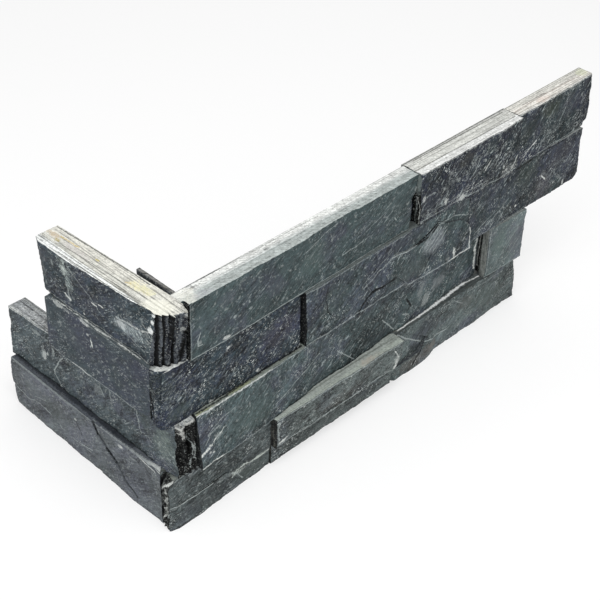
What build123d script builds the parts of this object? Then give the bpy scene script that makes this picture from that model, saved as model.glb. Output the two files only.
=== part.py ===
from build123d import *
import os

# Corner piece of stacked ledge stone. Sawn strips of split slate lie in four courses on two
# legs at right angles. The courses take turns to run out over the corner, and their far ends
# are staggered so that the next panel keys in. Two slate slips tie the inner corner.
#
# Origin: foot of the inner corner, where the wall faces of both legs meet on the bed plane.
# +X runs along the long leg, +Y along the short leg and +Z up. The split faces look to -Y on
# the long leg and to -X on the short leg.

# Courses, counted from the bottom
course_height = 37.5
bottom_course, lower_course, upper_course, top_course = range(4)

# Stone from the mean split face to the wall face of each leg
long_leg_thickness = 12.5
short_leg_thickness = 18.8

# Far ends of the courses at their feet, measured along each leg from the outer corner
long_top_end = 363.4
long_upper_end = 357.4
long_lower_end = 302.9
long_bottom_end = 306.9
short_top_end = 101.1
short_upper_end = 99.6
short_lower_end = 147.9
short_bottom_end = 147.4

# Butt joints along the long leg
top_left_joint = 191.5
top_right_joint = 284.5
upper_left_joint = 102.3
upper_right_joint = 243.0
lower_joint = 264.5
bottom_left_joint = 76.0
bottom_right_joint = 180.5

# Corner strips of the top and lower courses are thinner than the short leg
top_corner_thickness = 17.4
top_end_thickness = 13.5
lower_corner_thickness = 18.6
lower_end_thickness = 15.2

# The upper right half of the top course is split thicker than the rest
top_middle_thickness = 14.0
top_right_thickness = 13.2

# Bevels on the back corner of the long strips that run over the corner. The strip of the
# short leg laps each bevel, which runs out this far in front of the mean face
corner_bevel_width = 5.0
corner_bevel_depth = 4.6
corner_bevel_proud = 0.2
upper_bevel_width = 2.2
upper_bevel_depth = 1.7
upper_bevel_proud = 0.4

# Slips of slate bedded across the inner corner
slip_thickness = 2.4
short_slip_width = 28.5
long_slip_width = 31.0
slip_foot = course_height + 2.0
short_slip_drop = 0.3
long_slip_drop = 3.0

# How far cutters run out past the stone
clear = 20.0


def long_leg(along, deep, up):
    """Point on the long leg: along from the outer corner, deep in from the mean split face."""
    return Vector(along - short_leg_thickness, deep - long_leg_thickness, up)


def short_leg(along, deep, up):
    """Point on the short leg, in the same terms."""
    return Vector(deep - short_leg_thickness, along - long_leg_thickness, up)


def bed(course):
    """Height of the sawn bed under a course."""
    return course * course_height


def flat(points):
    """Flat face through a closed run of points."""
    return Face(Wire.make_polygon(points, close=True))


def walls(lower, upper):
    """Flat faces between two outlines, split on a diagonal where the four corners are twisted."""
    faces = []
    for i, (a, b) in enumerate(zip(lower, lower[1:] + lower[:1])):
        c = upper[(i + 1) % len(upper)]
        d = upper[i]
        twist = (b - a).cross(d - a).dot(c - a)
        if abs(twist) < 1e-6:
            faces.append(flat([a, b, c, d]))
        else:
            faces += [flat([a, b, c]), flat([a, c, d])]
    return faces


def split_strip(leg, course, near_end, face, far_end):
    """One strip of slate between two sawn beds.

    near_end and far_end run from the wall to the split face and back again, as (deep, along at
    the lower bed, along at the upper bed). face holds (along, proud at the lower bed, proud at
    the upper bed), where proud is how far the split face stands out from the mean face.
    """
    low = bed(course)
    high = bed(course + 1)
    outline = [(a_low, deep, a_high, deep) for deep, a_low, a_high in near_end]
    outline += [(along, -p_low, along, -p_high) for along, p_low, p_high in face]
    outline += [(a_low, deep, a_high, deep) for deep, a_low, a_high in far_end]
    lower = [leg(a, d, low) for a, d, _, _ in outline]
    upper = [leg(a, d, high) for _, _, a, d in outline]
    return Solid(Shell([flat(lower), flat(upper)] + walls(lower, upper)))


def relief(start, end, stations):
    """Face points from shares of the strip's own length, with what stands proud at each bed."""
    return [(start + share * (end - start), low, high) for share, low, high in stations]


def scar(leg, course, start, outline, floor, top=-clear):
    """Prism that takes a flake off a split face, down to floor millimetres behind the mean face.

    outline holds (along from start, up from the lower bed).
    """
    low = bed(course)
    rim = [leg(start + along, top, low + up) for along, up in outline]
    inward = leg(0, floor, 0) - leg(0, top, 0)
    return Solid.extrude(flat(rim), inward)


def sloping_end(leg, course, end, lean):
    """Prism that trims a far end, so that it leans back by lean from its foot to its top."""
    rim = [(0, 0), (-lean, course_height), (clear, course_height), (clear, 0)]
    return scar(leg, course, end, rim, clear)


def block(leg, along, deep, up):
    """Square-edged block from its limits along, deep and up."""
    rim = [leg(a, deep[0], u) for a, u in
           ((along[0], up[0]), (along[1], up[0]), (along[1], up[1]), (along[0], up[1]))]
    return Solid.extrude(flat(rim), leg(0, deep[1], 0) - leg(0, deep[0], 0))


def long_top_left_strip():
    """Smooth strip that butts against the corner strip, open by a dark slit at its front."""
    slit = 1.8
    start = top_corner_thickness
    body = split_strip(
        long_leg, top_course,
        [(long_leg_thickness, start, start), (4.0, start, start),
         (4.0, start + slit, start + slit)],
        relief(start + slit, top_left_joint, [
            (0.0, 0.0, 0.5), (0.24, 0.0, 0.5), (0.45, -0.8, 1.2), (0.58, -1.0, -0.7),
            (0.69, -1.0, -0.9), (0.72, -1.2, 0.4), (1.0, -2.0, 0.2)]),
        [(long_leg_thickness, top_left_joint, top_left_joint)])
    broken_corner = [(-3.2, -1), (-2.6, 10), (-3.2, 22), (-1.2, 24.5), (2, 27), (2, -1)]
    return body - scar(long_leg, top_course, top_left_joint, broken_corner, 7.0)


def long_top_middle_strip():
    """Thicker, rougher strip that stands proud of both neighbours."""
    body = split_strip(
        long_leg, top_course,
        [(top_middle_thickness, top_left_joint, top_left_joint)],
        relief(top_left_joint, top_right_joint, [
            (0.0, -0.3, 2.0), (0.26, 0.5, 2.3), (0.55, 1.3, 2.7), (0.8, 2.0, 2.5),
            (1.0, 1.5, 2.2)]),
        [(top_middle_thickness, top_right_joint, top_right_joint)])
    broken_corner = [(-2, -1), (-2, 27), (0.8, 25), (2.2, 17), (4.0, 11), (3.4, 4), (4.2, -1)]
    return body - scar(long_leg, top_course, top_left_joint, broken_corner, 7.0)


def long_top_right_strip():
    """Far strip of the top course, with a broken lower corner at its end."""
    body = split_strip(
        long_leg, top_course,
        [(top_right_thickness, top_right_joint, top_right_joint)],
        relief(top_right_joint, long_top_end, [
            (0.0, -0.4, -0.4), (0.22, 0.0, -0.4), (0.5, -0.6, -0.6), (0.8, -1.2, -1.4),
            (1.0, -1.7, -2.2)]),
        [(top_right_thickness, long_top_end, long_top_end)])
    broken_corner = [(-4.4, -1), (-4.2, 2.4), (-1.4, 4.2), (-0.4, 6.2), (clear, 6.2),
                     (clear, -1)]
    body -= sloping_end(long_leg, top_course, long_top_end, 2.4)
    return body - scar(long_leg, top_course, long_top_end, broken_corner, clear)


def long_upper_left_strip():
    """Granular strip that runs out over the corner, its end showing on the short leg."""
    seat = upper_left_joint
    return split_strip(
        long_leg, upper_course,
        [(long_leg_thickness, upper_bevel_width, upper_bevel_width),
         (long_leg_thickness - upper_bevel_depth, -upper_bevel_proud, -upper_bevel_proud),
         (6.6, -0.9, 0.9), (3.4, -0.6, 6.0)],
        [(2.4, -1.2, -2.9), (20.0, -1.1, -1.9), (44.0, -0.8, -0.9), (70.0, -1.2, -1.3),
         (seat - 14.0, -0.9, -1.2), (seat - 2.2, -1.5, -2.2)],
        [(3.6, seat - 1.5, seat - 2.4), (6.0, seat, seat), (long_leg_thickness, seat, seat)])


def long_upper_middle_strip():
    """Strip whose face leans out towards its foot, with flakes split away above and below."""
    start = upper_left_joint
    body = split_strip(
        long_leg, upper_course,
        [(long_leg_thickness, start, start)],
        relief(start, upper_right_joint, [
            (0.0, 1.4, 0.6), (0.3, 2.1, 0.0), (0.52, 2.9, 0.0), (0.76, 3.9, 0.1),
            (1.0, 4.7, 0.1)]),
        [(long_leg_thickness, upper_right_joint, upper_right_joint)])
    upper_flake = [(70, 38), (71.5, 27.7), (81, 25.2), (94.5, 25), (104, 28.2), (112.5, 31.5),
                   (119, 28), (133.5, 23.2), (139.6, 17), (142, 10), (145, 10), (145, 38)]
    lower_flake = [(40.5, 1.7), (47.5, 5.2), (52, 10.2), (56, 11.2), (71, 9.7), (74.5, 11.2),
                   (82, 3.5), (85, -1), (38, -1)]
    for outline, floor in ((upper_flake, 0.0), (lower_flake, -1.1)):
        body -= scar(long_leg, upper_course, start, outline, floor)
    return body


def long_upper_right_strip():
    """Dark rough strip at the far end, with a rounded lower corner."""
    body = split_strip(
        long_leg, upper_course,
        [(long_leg_thickness, upper_right_joint, upper_right_joint)],
        relief(upper_right_joint, long_upper_end, [
            (0.0, 0.0, -0.2), (0.3, 0.3, -0.6), (0.62, 0.2, -0.2), (1.0, 0.7, -0.4)]),
        [(long_leg_thickness, long_upper_end, long_upper_end)])
    rounded_corner = [(-5.0, -1), (-3.4, 0.5), (-1.2, 1.8), (0.0, 3.8), (0.4, 7.5), (clear, 7.5),
                      (clear, -1)]
    body -= sloping_end(long_leg, upper_course, long_upper_end, 0.5)
    return body - scar(long_leg, upper_course, long_upper_end, rounded_corner, clear)


def long_lower_left_strip():
    """Longest strip: proud and flared at the corner, sunk deep at its far end."""
    start = lower_corner_thickness
    slit = 1.3
    recess_end = lower_joint - 0.6
    return split_strip(
        long_leg, lower_course,
        [(long_leg_thickness, start, start), (3.0, start, start),
         (3.0, start + slit, start + slit)],
        relief(start + slit, recess_end, [
            (0.0, 5.2, 2.0), (0.15, 3.8, 1.8), (0.24, 2.2, 1.4), (0.33, 0.9, 0.9),
            (0.38, -1.2, -0.3), (0.54, -1.3, -0.6), (0.63, -2.9, -1.2), (0.78, -3.6, -2.2),
            (0.92, -6.6, -4.6), (1.0, -6.4, -5.6)]),
        [(9.5, recess_end, recess_end), (9.5, lower_joint, lower_joint),
         (long_leg_thickness, lower_joint, lower_joint)])


def long_lower_right_strip():
    """Short proud strip whose near end stands open, with a broken pocket behind its edge."""
    face_start = lower_joint + 1.6
    pocket = lower_joint + 4.4
    return split_strip(
        long_leg, lower_course,
        [(long_leg_thickness, lower_joint, lower_joint), (9.5, lower_joint, lower_joint),
         (9.5, pocket, pocket), (4.6, pocket, pocket), (4.2, face_start, face_start)],
        relief(face_start, long_lower_end, [(0.0, 0.9, 0.8), (0.45, 1.2, 1.6), (1.0, 1.8, 1.5)]),
        [(long_leg_thickness, long_lower_end, long_lower_end)])


def long_bottom_left_strip():
    """Strip that runs out over the corner and shows its broken end on the short leg."""
    body = split_strip(
        long_leg, bottom_course,
        [(long_leg_thickness, corner_bevel_width, corner_bevel_width),
         (long_leg_thickness - corner_bevel_depth, -corner_bevel_proud, -corner_bevel_proud),
         (6.2, -1.0, -0.6), (4.4, 0.6, 0.9), (2.6, -0.9, -0.2)],
        [(-1.0, -0.6, -0.2), (5.0, 1.2, 0.8), (24.0, 1.3, 0.9), (45.0, 0.4, 1.1),
         (bottom_left_joint - 8.0, -0.8, 1.4), (bottom_left_joint, -1.1, 1.5)],
        [(long_leg_thickness, bottom_left_joint, bottom_left_joint)])
    upper_layer = [(-clear, 17.2), (41, 17.6), (49, 14.2), (77, 14.6), (77, 39), (-clear, 39)]
    chipped_corner = [(-clear, 30.5), (-1.2, 31.0), (1.4, 35.2), (3.8, 38.0), (3.8, 40),
                      (-clear, 40)]
    body -= scar(long_leg, bottom_course, 0.0, upper_layer, -0.4)
    return body - scar(long_leg, bottom_course, 0.0, chipped_corner, 9.5)


def long_bottom_middle_strip():
    """Strip with a thick upper layer left standing and its foot split away."""
    start = bottom_left_joint
    foot_end = bottom_right_joint - 1.6
    body = split_strip(
        long_leg, bottom_course,
        [(long_leg_thickness, start, start)],
        relief(start, foot_end, [(0.0, 5.0, 5.4), (0.35, 5.6, 6.0), (0.7, 6.2, 6.5)])
        + [(bottom_right_joint + 1.2, 6.6, 6.9)],
        [(2.5, foot_end, bottom_right_joint + 2.0),
         (3.5, bottom_right_joint, bottom_right_joint),
         (long_leg_thickness, bottom_right_joint, bottom_right_joint)])
    foot = [(-2, -1), (-2, 15.0), (8, 16.2), (50, 16.4), (92, 16.9), (110, 17.8), (110, -1)]
    chip = [(98, 16), (104, 24.5), (110, 25), (110, 16)]
    body -= scar(long_leg, bottom_course, start, foot, -0.5)
    return body - scar(long_leg, bottom_course, start, chip, -3.8)


def long_bottom_right_strip():
    """Far strip of the bottom course: face leans back at its foot, end leans out."""
    start = bottom_right_joint
    body = split_strip(
        long_leg, bottom_course,
        [(long_leg_thickness, start, start), (3.5, start, start), (2.5, start, start + 2.0)],
        [(start + 2.4, 0.5, 0.3)] + relief(start, long_bottom_end, [
            (0.15, 1.3, 0.1), (0.27, 0.6, 0.3), (0.345, -2.2, 0.5), (0.6, -2.1, 1.0),
            (1.0, -2.9, 1.7)]),
        [(long_leg_thickness, long_bottom_end, long_bottom_end)])
    hollow = [(3, 10), (24, 10.5), (29.5, 15.5), (31, 20), (15, 31), (5, 37), (3, 37)]
    worn_corner = [(-12, 38), (-10, 36.4), (-8.6, 33), (clear, 33), (clear, 38)]
    body -= scar(long_leg, bottom_course, start, hollow, 1.2)
    body -= sloping_end(long_leg, bottom_course, long_bottom_end, 9.9)
    return body - scar(long_leg, bottom_course, long_bottom_end, worn_corner, 1.0)


def short_top_strip():
    """Corner strip of the top course; its snapped end shows the layers from the long side."""
    inner = top_corner_thickness
    body = split_strip(
        short_leg, top_course,
        [(inner, long_leg_thickness, long_leg_thickness), (inner, 2.2, 0.6), (14.4, 2.8, -4.9),
         (12.8, 3.6, -3.2), (9.6, 4.6, -1.8), (7.6, 5.4, -3.0), (7.2, 6.4, 0.3),
         (4.6, 8.0, 0.7), (3.0, 10.2, 2.8), (1.6, 13.2, 4.8)],
        [(30.0, -2.2, 0.2), (64.0, -1.6, 2.8), (80.0, -0.9, 3.0),
         (short_top_end - 6.0, -1.2, 3.0), (short_top_end, -1.7, 0.6)],
        [(top_end_thickness, short_top_end, short_top_end)])
    return body - sloping_end(short_leg, top_course, short_top_end, 1.4)


def short_upper_strip():
    """Smooth strip that butts against the long strip at the corner, by an open slit."""
    lap = long_leg_thickness - upper_bevel_depth
    body = split_strip(
        short_leg, upper_course,
        [(short_leg_thickness, long_leg_thickness, long_leg_thickness),
         (upper_bevel_width, long_leg_thickness, long_leg_thickness),
         (-upper_bevel_proud, lap, lap)],
        relief(long_leg_thickness, short_upper_end, [
            (0.1, 0.5, 0.4), (0.5, 0.9, 0.5), (0.82, 1.4, 0.4), (1.0, 1.0, 0.5)]),
        [(short_leg_thickness, short_upper_end, short_upper_end)])
    slit = [(-2.6, 3.5), (-0.4, 3.0), (-0.9, 23.5), (-2.6, 24)]
    foot_chip = [(-3, -1), (-3, 2.4), (5, 2.0), (13, 0.9), (21, -1)]
    chipped_corner = [(-3.4, 38), (-2.9, 36.8), (-0.3, 34.6), (0.3, 32), (clear, 32), (clear, 38)]
    body -= scar(short_leg, upper_course, long_leg_thickness, slit, 3.5)
    body -= scar(short_leg, upper_course, long_leg_thickness, foot_chip, 4.4)
    return body - scar(short_leg, upper_course, short_upper_end, chipped_corner, clear)


def short_lower_strip():
    """Sunk strip that runs out over the corner to a ragged broken end."""
    inner = lower_corner_thickness
    body = split_strip(
        short_leg, lower_course,
        [(inner, long_leg_thickness, long_leg_thickness), (inner, 1.2, 1.2), (17.9, -2.0, -2.6),
         (13.2, -1.6, -2.9), (11.8, 0.4, -1.2), (10.6, -1.0, -2.7), (7.5, -1.6, -3.7),
         (6.2, -0.6, 0.3)],
        [(8.0, -5.0, -5.9), (60.0, -4.9, -5.2), (109.0, -4.6, -4.6),
         (short_lower_end, -3.8, -3.2)],
        [(lower_end_thickness - 3.2, short_lower_end + 0.8, short_lower_end + 0.8),
         (lower_end_thickness, short_lower_end - 2.2, short_lower_end - 2.2)])
    deep_break = [(-clear, 7), (-0.2, 8), (1.2, 12), (1.0, 17), (0.0, 22), (-1.6, 27),
                  (-clear, 30)]
    notch = [(-clear, 12), (-0.6, 13), (0.2, 20), (-0.8, 31), (-clear, 33)]
    body -= sloping_end(short_leg, lower_course, short_lower_end, 3.2)
    body -= scar(short_leg, lower_course, 0.0, deep_break, 9.6)
    return body - (scar(short_leg, lower_course, 0.0, notch, 15.0)
                   - scar(short_leg, lower_course, 0.0, notch, 12.6))


def short_bottom_strip():
    """Foot strip of the short leg, with a diagonal cleft and a bowed far end."""
    lap = long_leg_thickness - corner_bevel_depth
    body = split_strip(
        short_leg, bottom_course,
        [(short_leg_thickness, long_leg_thickness, long_leg_thickness),
         (corner_bevel_width, long_leg_thickness, long_leg_thickness),
         (-corner_bevel_proud, lap, lap)],
        [(13.0, -0.4, -0.9), (28.0, 0.2, -1.5), (60.0, -0.4, -0.6), (100.0, -0.2, 0.6),
         (short_bottom_end, -0.2, 0.0)],
        [(short_leg_thickness, short_bottom_end, short_bottom_end)])
    cleft = [(66, 38), (62.5, 30.5), (52, 25), (40.5, 13.5), (28, 5), (30, 4), (42, 11),
             (52, 20.5), (61, 26), (64.5, 30), (69, 38)]
    foot_layer = [(66, 9.5), (98, 11.3), (109, 15), (120, 16.4), (134, 14.4), (150, 17),
                  (150, -1), (62, -1)]
    bowed_end = [(-1.9, -1), (-1.6, 3), (-0.4, 14), (0.1, 22), (-0.8, 30), (-2.3, 38),
                 (clear, 38), (clear, -1)]
    top_chip = [(5, 33), (12, 36.2), (20, 38), (5, 40)]
    for outline, floor in ((cleft, 1.9), (foot_layer, 0.9), (top_chip, 2.2)):
        body -= scar(short_leg, bottom_course, 0.0, outline, floor)
    return body - scar(short_leg, bottom_course, short_bottom_end, bowed_end, clear)


def short_backing_slip():
    """Slip of slate bedded on the back of the short leg, against the long leg."""
    return block(short_leg,
                 (long_leg_thickness, long_leg_thickness + short_slip_width),
                 (short_leg_thickness, short_leg_thickness + slip_thickness),
                 (slip_foot, bed(top_course + 1) - short_slip_drop))


def long_backing_slip():
    """Slip of slate bedded on the back of the long leg, against the other slip."""
    start = short_leg_thickness + slip_thickness
    return block(long_leg, (start, start + long_slip_width),
                 (long_leg_thickness, long_leg_thickness + slip_thickness),
                 (slip_foot, bed(top_course + 1) - long_slip_drop))


pieces = (
    long_top_left_strip, long_top_middle_strip, long_top_right_strip,
    long_upper_left_strip, long_upper_middle_strip, long_upper_right_strip,
    long_lower_left_strip, long_lower_right_strip,
    long_bottom_left_strip, long_bottom_middle_strip, long_bottom_right_strip,
    short_top_strip, short_upper_strip, short_lower_strip, short_bottom_strip,
    short_backing_slip, long_backing_slip,
)

os.makedirs("parts", exist_ok=True)
for piece in pieces:
    solid = piece()
    solid.label = piece.__name__
    export_step(solid, f"parts/{piece.__name__}.step")
    print(f"{piece.__name__}: {solid.volume / 1000:.1f} cm3, {len(solid.faces())} faces")
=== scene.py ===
import math
import bmesh
import bpy
from mathutils import Matrix, Vector, noise
from mathutils.bvhtree import BVHTree


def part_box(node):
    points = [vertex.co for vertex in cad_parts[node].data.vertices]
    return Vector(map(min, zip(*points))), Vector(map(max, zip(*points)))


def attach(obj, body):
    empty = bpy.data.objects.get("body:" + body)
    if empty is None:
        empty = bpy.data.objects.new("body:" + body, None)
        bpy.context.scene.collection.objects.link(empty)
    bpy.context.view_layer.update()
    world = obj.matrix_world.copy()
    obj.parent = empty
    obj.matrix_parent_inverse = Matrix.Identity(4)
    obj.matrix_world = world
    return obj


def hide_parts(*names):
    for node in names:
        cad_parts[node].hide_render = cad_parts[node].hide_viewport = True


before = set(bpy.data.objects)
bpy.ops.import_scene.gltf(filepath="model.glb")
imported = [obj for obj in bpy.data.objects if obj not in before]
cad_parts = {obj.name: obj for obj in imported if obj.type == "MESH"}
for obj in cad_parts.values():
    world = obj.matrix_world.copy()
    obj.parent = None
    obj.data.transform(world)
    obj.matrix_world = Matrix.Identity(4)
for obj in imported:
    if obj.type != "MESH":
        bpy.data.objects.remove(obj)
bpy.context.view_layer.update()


# Left strip of the bottom course, long leg. Grey slate split by hand, sawn on its two beds, and
# snapped at the corner, where its broken end shows on the short leg. It is the first strip laid
# face down in the mould, so the ways of working slate that all strips share are set out here.

# Millimetres: spacing of the points that carry the relief, how deep behind the face and the ends
# the carving still moves the stone, how wide the chipped rim is, and how far from its ends a bed
# is cut both ways
grid = 0.8
face_reach = 4.0
open_end_reach = 5.0
rim_width = 1.2
bed_end = 12.0

# Metres: where a ray towards the stone starts, clear of it
outside = 0.05

LONG = {"along": 0, "deep": 1, "corner": (18.8, 12.5)}
SHORT = {"along": 1, "deep": 0, "corner": (12.5, 18.8)}
SPLIT, SAWN, BROKEN, WALL = range(4)


def on_leg(leg, co):
    """Millimetres along the leg from the outer corner, deep behind the mean face, and up."""
    along, deep = leg["corner"]
    return co[leg["along"]] * 1000 + along, co[leg["deep"]] * 1000 + deep, co[2] * 1000


def rise(value, low, high):
    """0 below low, 1 above high, smooth between."""
    part = min(1.0, max(0.0, (value - low) / (high - low)))
    return part * part * (3 - 2 * part)


def cleft(along, up, seed, lean, layers, rough):
    """How far the split face lies back, with how near a broken layer's edge is: broad waves,
    thin layers that ended in steps as the stone was split, and grain."""
    turn = math.radians(lean)
    u = along * math.cos(turn) + up * math.sin(turn)
    v = up * math.cos(turn) - along * math.sin(turn)
    wave = noise.noise(Vector((along / 34, up / 18, seed)))
    height = 3.2 * noise.fractal(Vector((u / 26, v / 9, seed + 4.7)), 1.0, 2.1, 4) + 8
    level = math.floor(height)
    part = height - level
    step = level - 8 + rise(part, 0.78, 1.0)
    grain = noise.fractal(Vector((u / 6.0, v / 2.0, seed + 9.1)), 0.7, 2.2, 3)
    crumb = noise.fractal(Vector((along / 2.4, up / 2.4, seed + 6.6)), 0.8, 2.1, 2)
    edge = rise(part, 0.72, 0.86) * (1 - rise(part, 0.92, 1.0))
    back = 0.38 + 0.22 * wave - 0.28 * layers * step + 0.14 * grain + 0.16 * rough * crumb
    return max(0.02, back), edge


def work_slate(node, leg, seed, lean=35, layers=1.0, rough=0.5, chips=0.3, near=0.25, far=0.25,
               band=2.4, grooves=(), end_reach=-99.0, end_kind=BROKEN):
    """The strip as it comes from the splitter: copy of the CAD strip with its split face, broken
    ends and arrises carved inwards. Butted ends stay tight along the wall. Faces nearer the corner
    than end_reach are end_kind; a groove in the near end has its place at the top and at the foot,
    its half width and its depth."""
    stone = bmesh.new()
    stone.from_mesh(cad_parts[node].data)
    bmesh.ops.remove_doubles(stone, verts=stone.verts, dist=1e-6)
    bmesh.ops.dissolve_limit(stone, angle_limit=math.radians(0.2),
                             verts=stone.verts, edges=stone.edges)
    stone.normal_update()
    ups = [v.co.z * 1000 for v in stone.verts]
    foot, top = min(ups), max(ups)
    for face in stone.faces:
        out = -face.normal[leg["deep"]]
        level = face.calc_center_median().z * 1000
        at_bed = min(abs(level - foot), abs(level - top)) < 0.05
        reach = max(on_leg(leg, v.co)[0] for v in face.verts)
        if abs(face.normal.z) > 0.99 and at_bed:
            face.material_index = SAWN
        elif reach < end_reach:
            face.material_index = end_kind
        elif out > 0.45:
            face.material_index = SPLIT
        elif out < -0.9:
            face.material_index = WALL
        else:
            face.material_index = BROKEN
    solid = BVHTree.FromBMesh(stone)
    low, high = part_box(node)

    def near_end(face):
        place = face.calc_center_median()[leg["along"]]
        return min(place - low[leg["along"]], high[leg["along"]] - place) * 1000 < bed_end

    for axis in (leg["along"], 2, leg["deep"]):
        normal = Vector((0, 0, 0))
        normal[axis] = 1
        count = int((high[axis] - low[axis]) * 1000 / grid)
        for i in range(1, count + 1):
            point = low.copy()
            point[axis] += i * (high[axis] - low[axis]) / (count + 1)
            faces = stone.faces[:]
            if axis == leg["deep"]:
                faces = [f for f in faces if abs(f.normal[leg["along"]]) > 0.4
                         or f.material_index == SAWN and near_end(f)]
            edges = list({e for f in faces for e in f.edges})
            verts = list({v for f in faces for v in f.verts})
            bmesh.ops.bisect_plane(stone, geom=verts + edges + faces, dist=1e-7,
                                   plane_co=point, plane_no=normal)
    edge_mark = stone.verts.layers.float.new("layer_edge")
    # how deep each point of a broken end is carved; the broken slate uses it for painted shade in the
    # hollows
    hollow_shade_mark = stone.verts.layers.float.new("hollow")
    inward = Vector((0, 0, 0))
    inward[leg["deep"]] = 1
    onward = Vector((0, 0, 0))
    onward[leg["along"]] = 1
    centre = (low + high) / 2
    moves = []
    for vert in stone.verts:
        along, deep, up = on_leg(leg, vert.co)
        aim = vert.co.lerp(centre, 0.002)
        move = Vector((0, 0, 0))
        start = aim.copy()
        start[leg["deep"]] = low[leg["deep"]] - outside
        found = solid.ray_cast(start, inward)[0]
        if found:
            behind = (vert.co - found)[leg["deep"]] * 1000
            share = 1 - rise(behind, 0.0, face_reach)
            back, edge = cleft(along, up, seed, lean, layers, rough)
            rim = 1 - min(up - foot, top - up) / rim_width
            if rim > 0:
                ragged = noise.fractal(Vector((along / 2.2, up / 2.2, seed + 2.3)), 0.8, 2.0, 2)
                back += chips * rim * rise(ragged, 0.1, 0.6)
            move += inward * back * share
            vert[edge_mark] = edge * share
        for way, size in ((1, near), (-1, far)):
            start = aim.copy()
            limit = low if way > 0 else high
            start[leg["along"]] = limit[leg["along"]] - way * outside
            found, facing = solid.ray_cast(start, onward * way)[:2]
            if found and facing[leg["along"]] * way < -0.3:
                behind = (vert.co - found)[leg["along"]] * 1000 * way
                share = 1 - rise(behind, 0.0, open_end_reach)
                sway = noise.noise(Vector((up / 14, deep / 9, seed))) * 0.5
                bands = noise.noise(Vector((deep / band + sway, up / 26, seed + 1.7)))
                fine = noise.fractal(Vector((deep / 1.6, up / 2.6, seed + 3.1)), 0.7, 2.2, 3)
                depth = size * max(0.0, 0.5 + 0.9 * bands + 0.6 * fine)
                for at_top, at_foot, half, sunk in grooves if way > 0 else ():
                    middle = at_foot + (at_top - at_foot) * (up - foot) / (top - foot)
                    depth += sunk * (1 - rise(abs(deep - middle + sway), 0.3 * half, half))
                if way < 0 or end_reach < 0:
                    depth *= rise((high - vert.co)[leg["deep"]] * 1000, 0.5, 3.0)
                move += onward * way * share * depth
                vert[hollow_shade_mark] = max(vert[hollow_shade_mark], share * min(1.0, depth / 2.2))
        moves.append((vert, move))
    for vert, move in moves:
        vert.co += move / 1000
    bmesh.ops.triangulate(stone, faces=stone.faces)
    mesh = bpy.data.meshes.new("slate_" + node)
    stone.to_mesh(mesh)
    stone.free()
    mesh.shade_smooth()
    mesh.set_sharp_from_angle(angle=math.radians(32))
    piece = bpy.data.objects.new("slate_" + node, mesh)
    bpy.context.scene.collection.objects.link(piece)
    return piece


def tone(red, green, blue):
    """A colour as read off a print, 0 to 255 each, as the shader's linear values."""
    linear = [((c / 255 + 0.055) / 1.055) ** 2.4 if c > 10 else c / 255 / 12.92
              for c in (red, green, blue)]
    return (*linear, 1.0)


def add(tree, kind, *values, **settings):
    """A shader node with its inputs set or linked in order; returns its first output."""
    made = tree.nodes.new("ShaderNode" + kind)
    for name, value in settings.items():
        setattr(made, name, value)
    for socket, value in zip(made.inputs, values):
        if isinstance(value, bpy.types.NodeSocket):
            tree.links.new(value, socket)
        elif value is not None:
            socket.default_value = value
    return made.outputs[0]


def sums(tree, operation, *values):
    return add(tree, "Math", *values, operation=operation)


def vectors(tree, operation, *values):
    made = add(tree, "VectorMath", *values, operation=operation).node
    return made.outputs["Value" if operation in ("LENGTH", "DOT_PRODUCT") else "Vector"]


def fade(tree, value, low, high, start=0.0, end=1.0):
    """start below low, end above high, smooth between."""
    made = add(tree, "MapRange", value, low, high, start, end, interpolation_type="SMOOTHSTEP")
    return made


def clouds(tree, place, size, detail=3.0, rough=0.55):
    """Noise in patches of about that size in millimetres."""
    return add(tree, "TexNoise", place, None, 1.0 / size, detail, rough)


def mix(tree, amount, first, second, blend_type="MIX"):
    made = add(tree, "Mix", data_type="RGBA", blend_type=blend_type).node
    for socket, value in zip((made.inputs[0], made.inputs[6], made.inputs[7]),
                             (amount, first, second)):
        if isinstance(value, bpy.types.NodeSocket):
            tree.links.new(value, socket)
        else:
            socket.default_value = value
    return made.outputs[2]


def effect(name, inputs, outputs):
    """An empty shader node group with named inputs and outputs."""
    tree = bpy.data.node_groups.new(name, "ShaderNodeTree")
    kinds = {"float": "NodeSocketFloat", "vector": "NodeSocketVector", "color": "NodeSocketColor"}
    for label, kind in inputs.items():
        tree.interface.new_socket(label, in_out="INPUT", socket_type=kinds[kind])
    for label, kind in outputs.items():
        tree.interface.new_socket(label, in_out="OUTPUT", socket_type=kinds[kind])
    given = tree.nodes.new("NodeGroupInput").outputs
    result = tree.nodes.new("NodeGroupOutput").inputs
    return tree, given, result


def scaled(tree, place, along, deep, up):
    return vectors(tree, "MULTIPLY", place, (along, deep, up))


# Where a point lies on its leg, in millimetres along, deep and up
leg_place, given, result = effect("Leg place", {}, {"Long": "vector", "Short": "vector"})
own = leg_place.nodes.new("ShaderNodeTexCoord").outputs["Object"]
split_up = add(leg_place, "SeparateXYZ", own).node.outputs
swapped = add(leg_place, "CombineXYZ", split_up[1], split_up[0], split_up[2])
for label, source, leg in (("Long", own, LONG), ("Short", swapped, SHORT)):
    grown = scaled(leg_place, source, 1000, 1000, 1000)
    leg_place.links.new(vectors(leg_place, "ADD", grown, (*leg["corner"], 0)), result[label])

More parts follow.
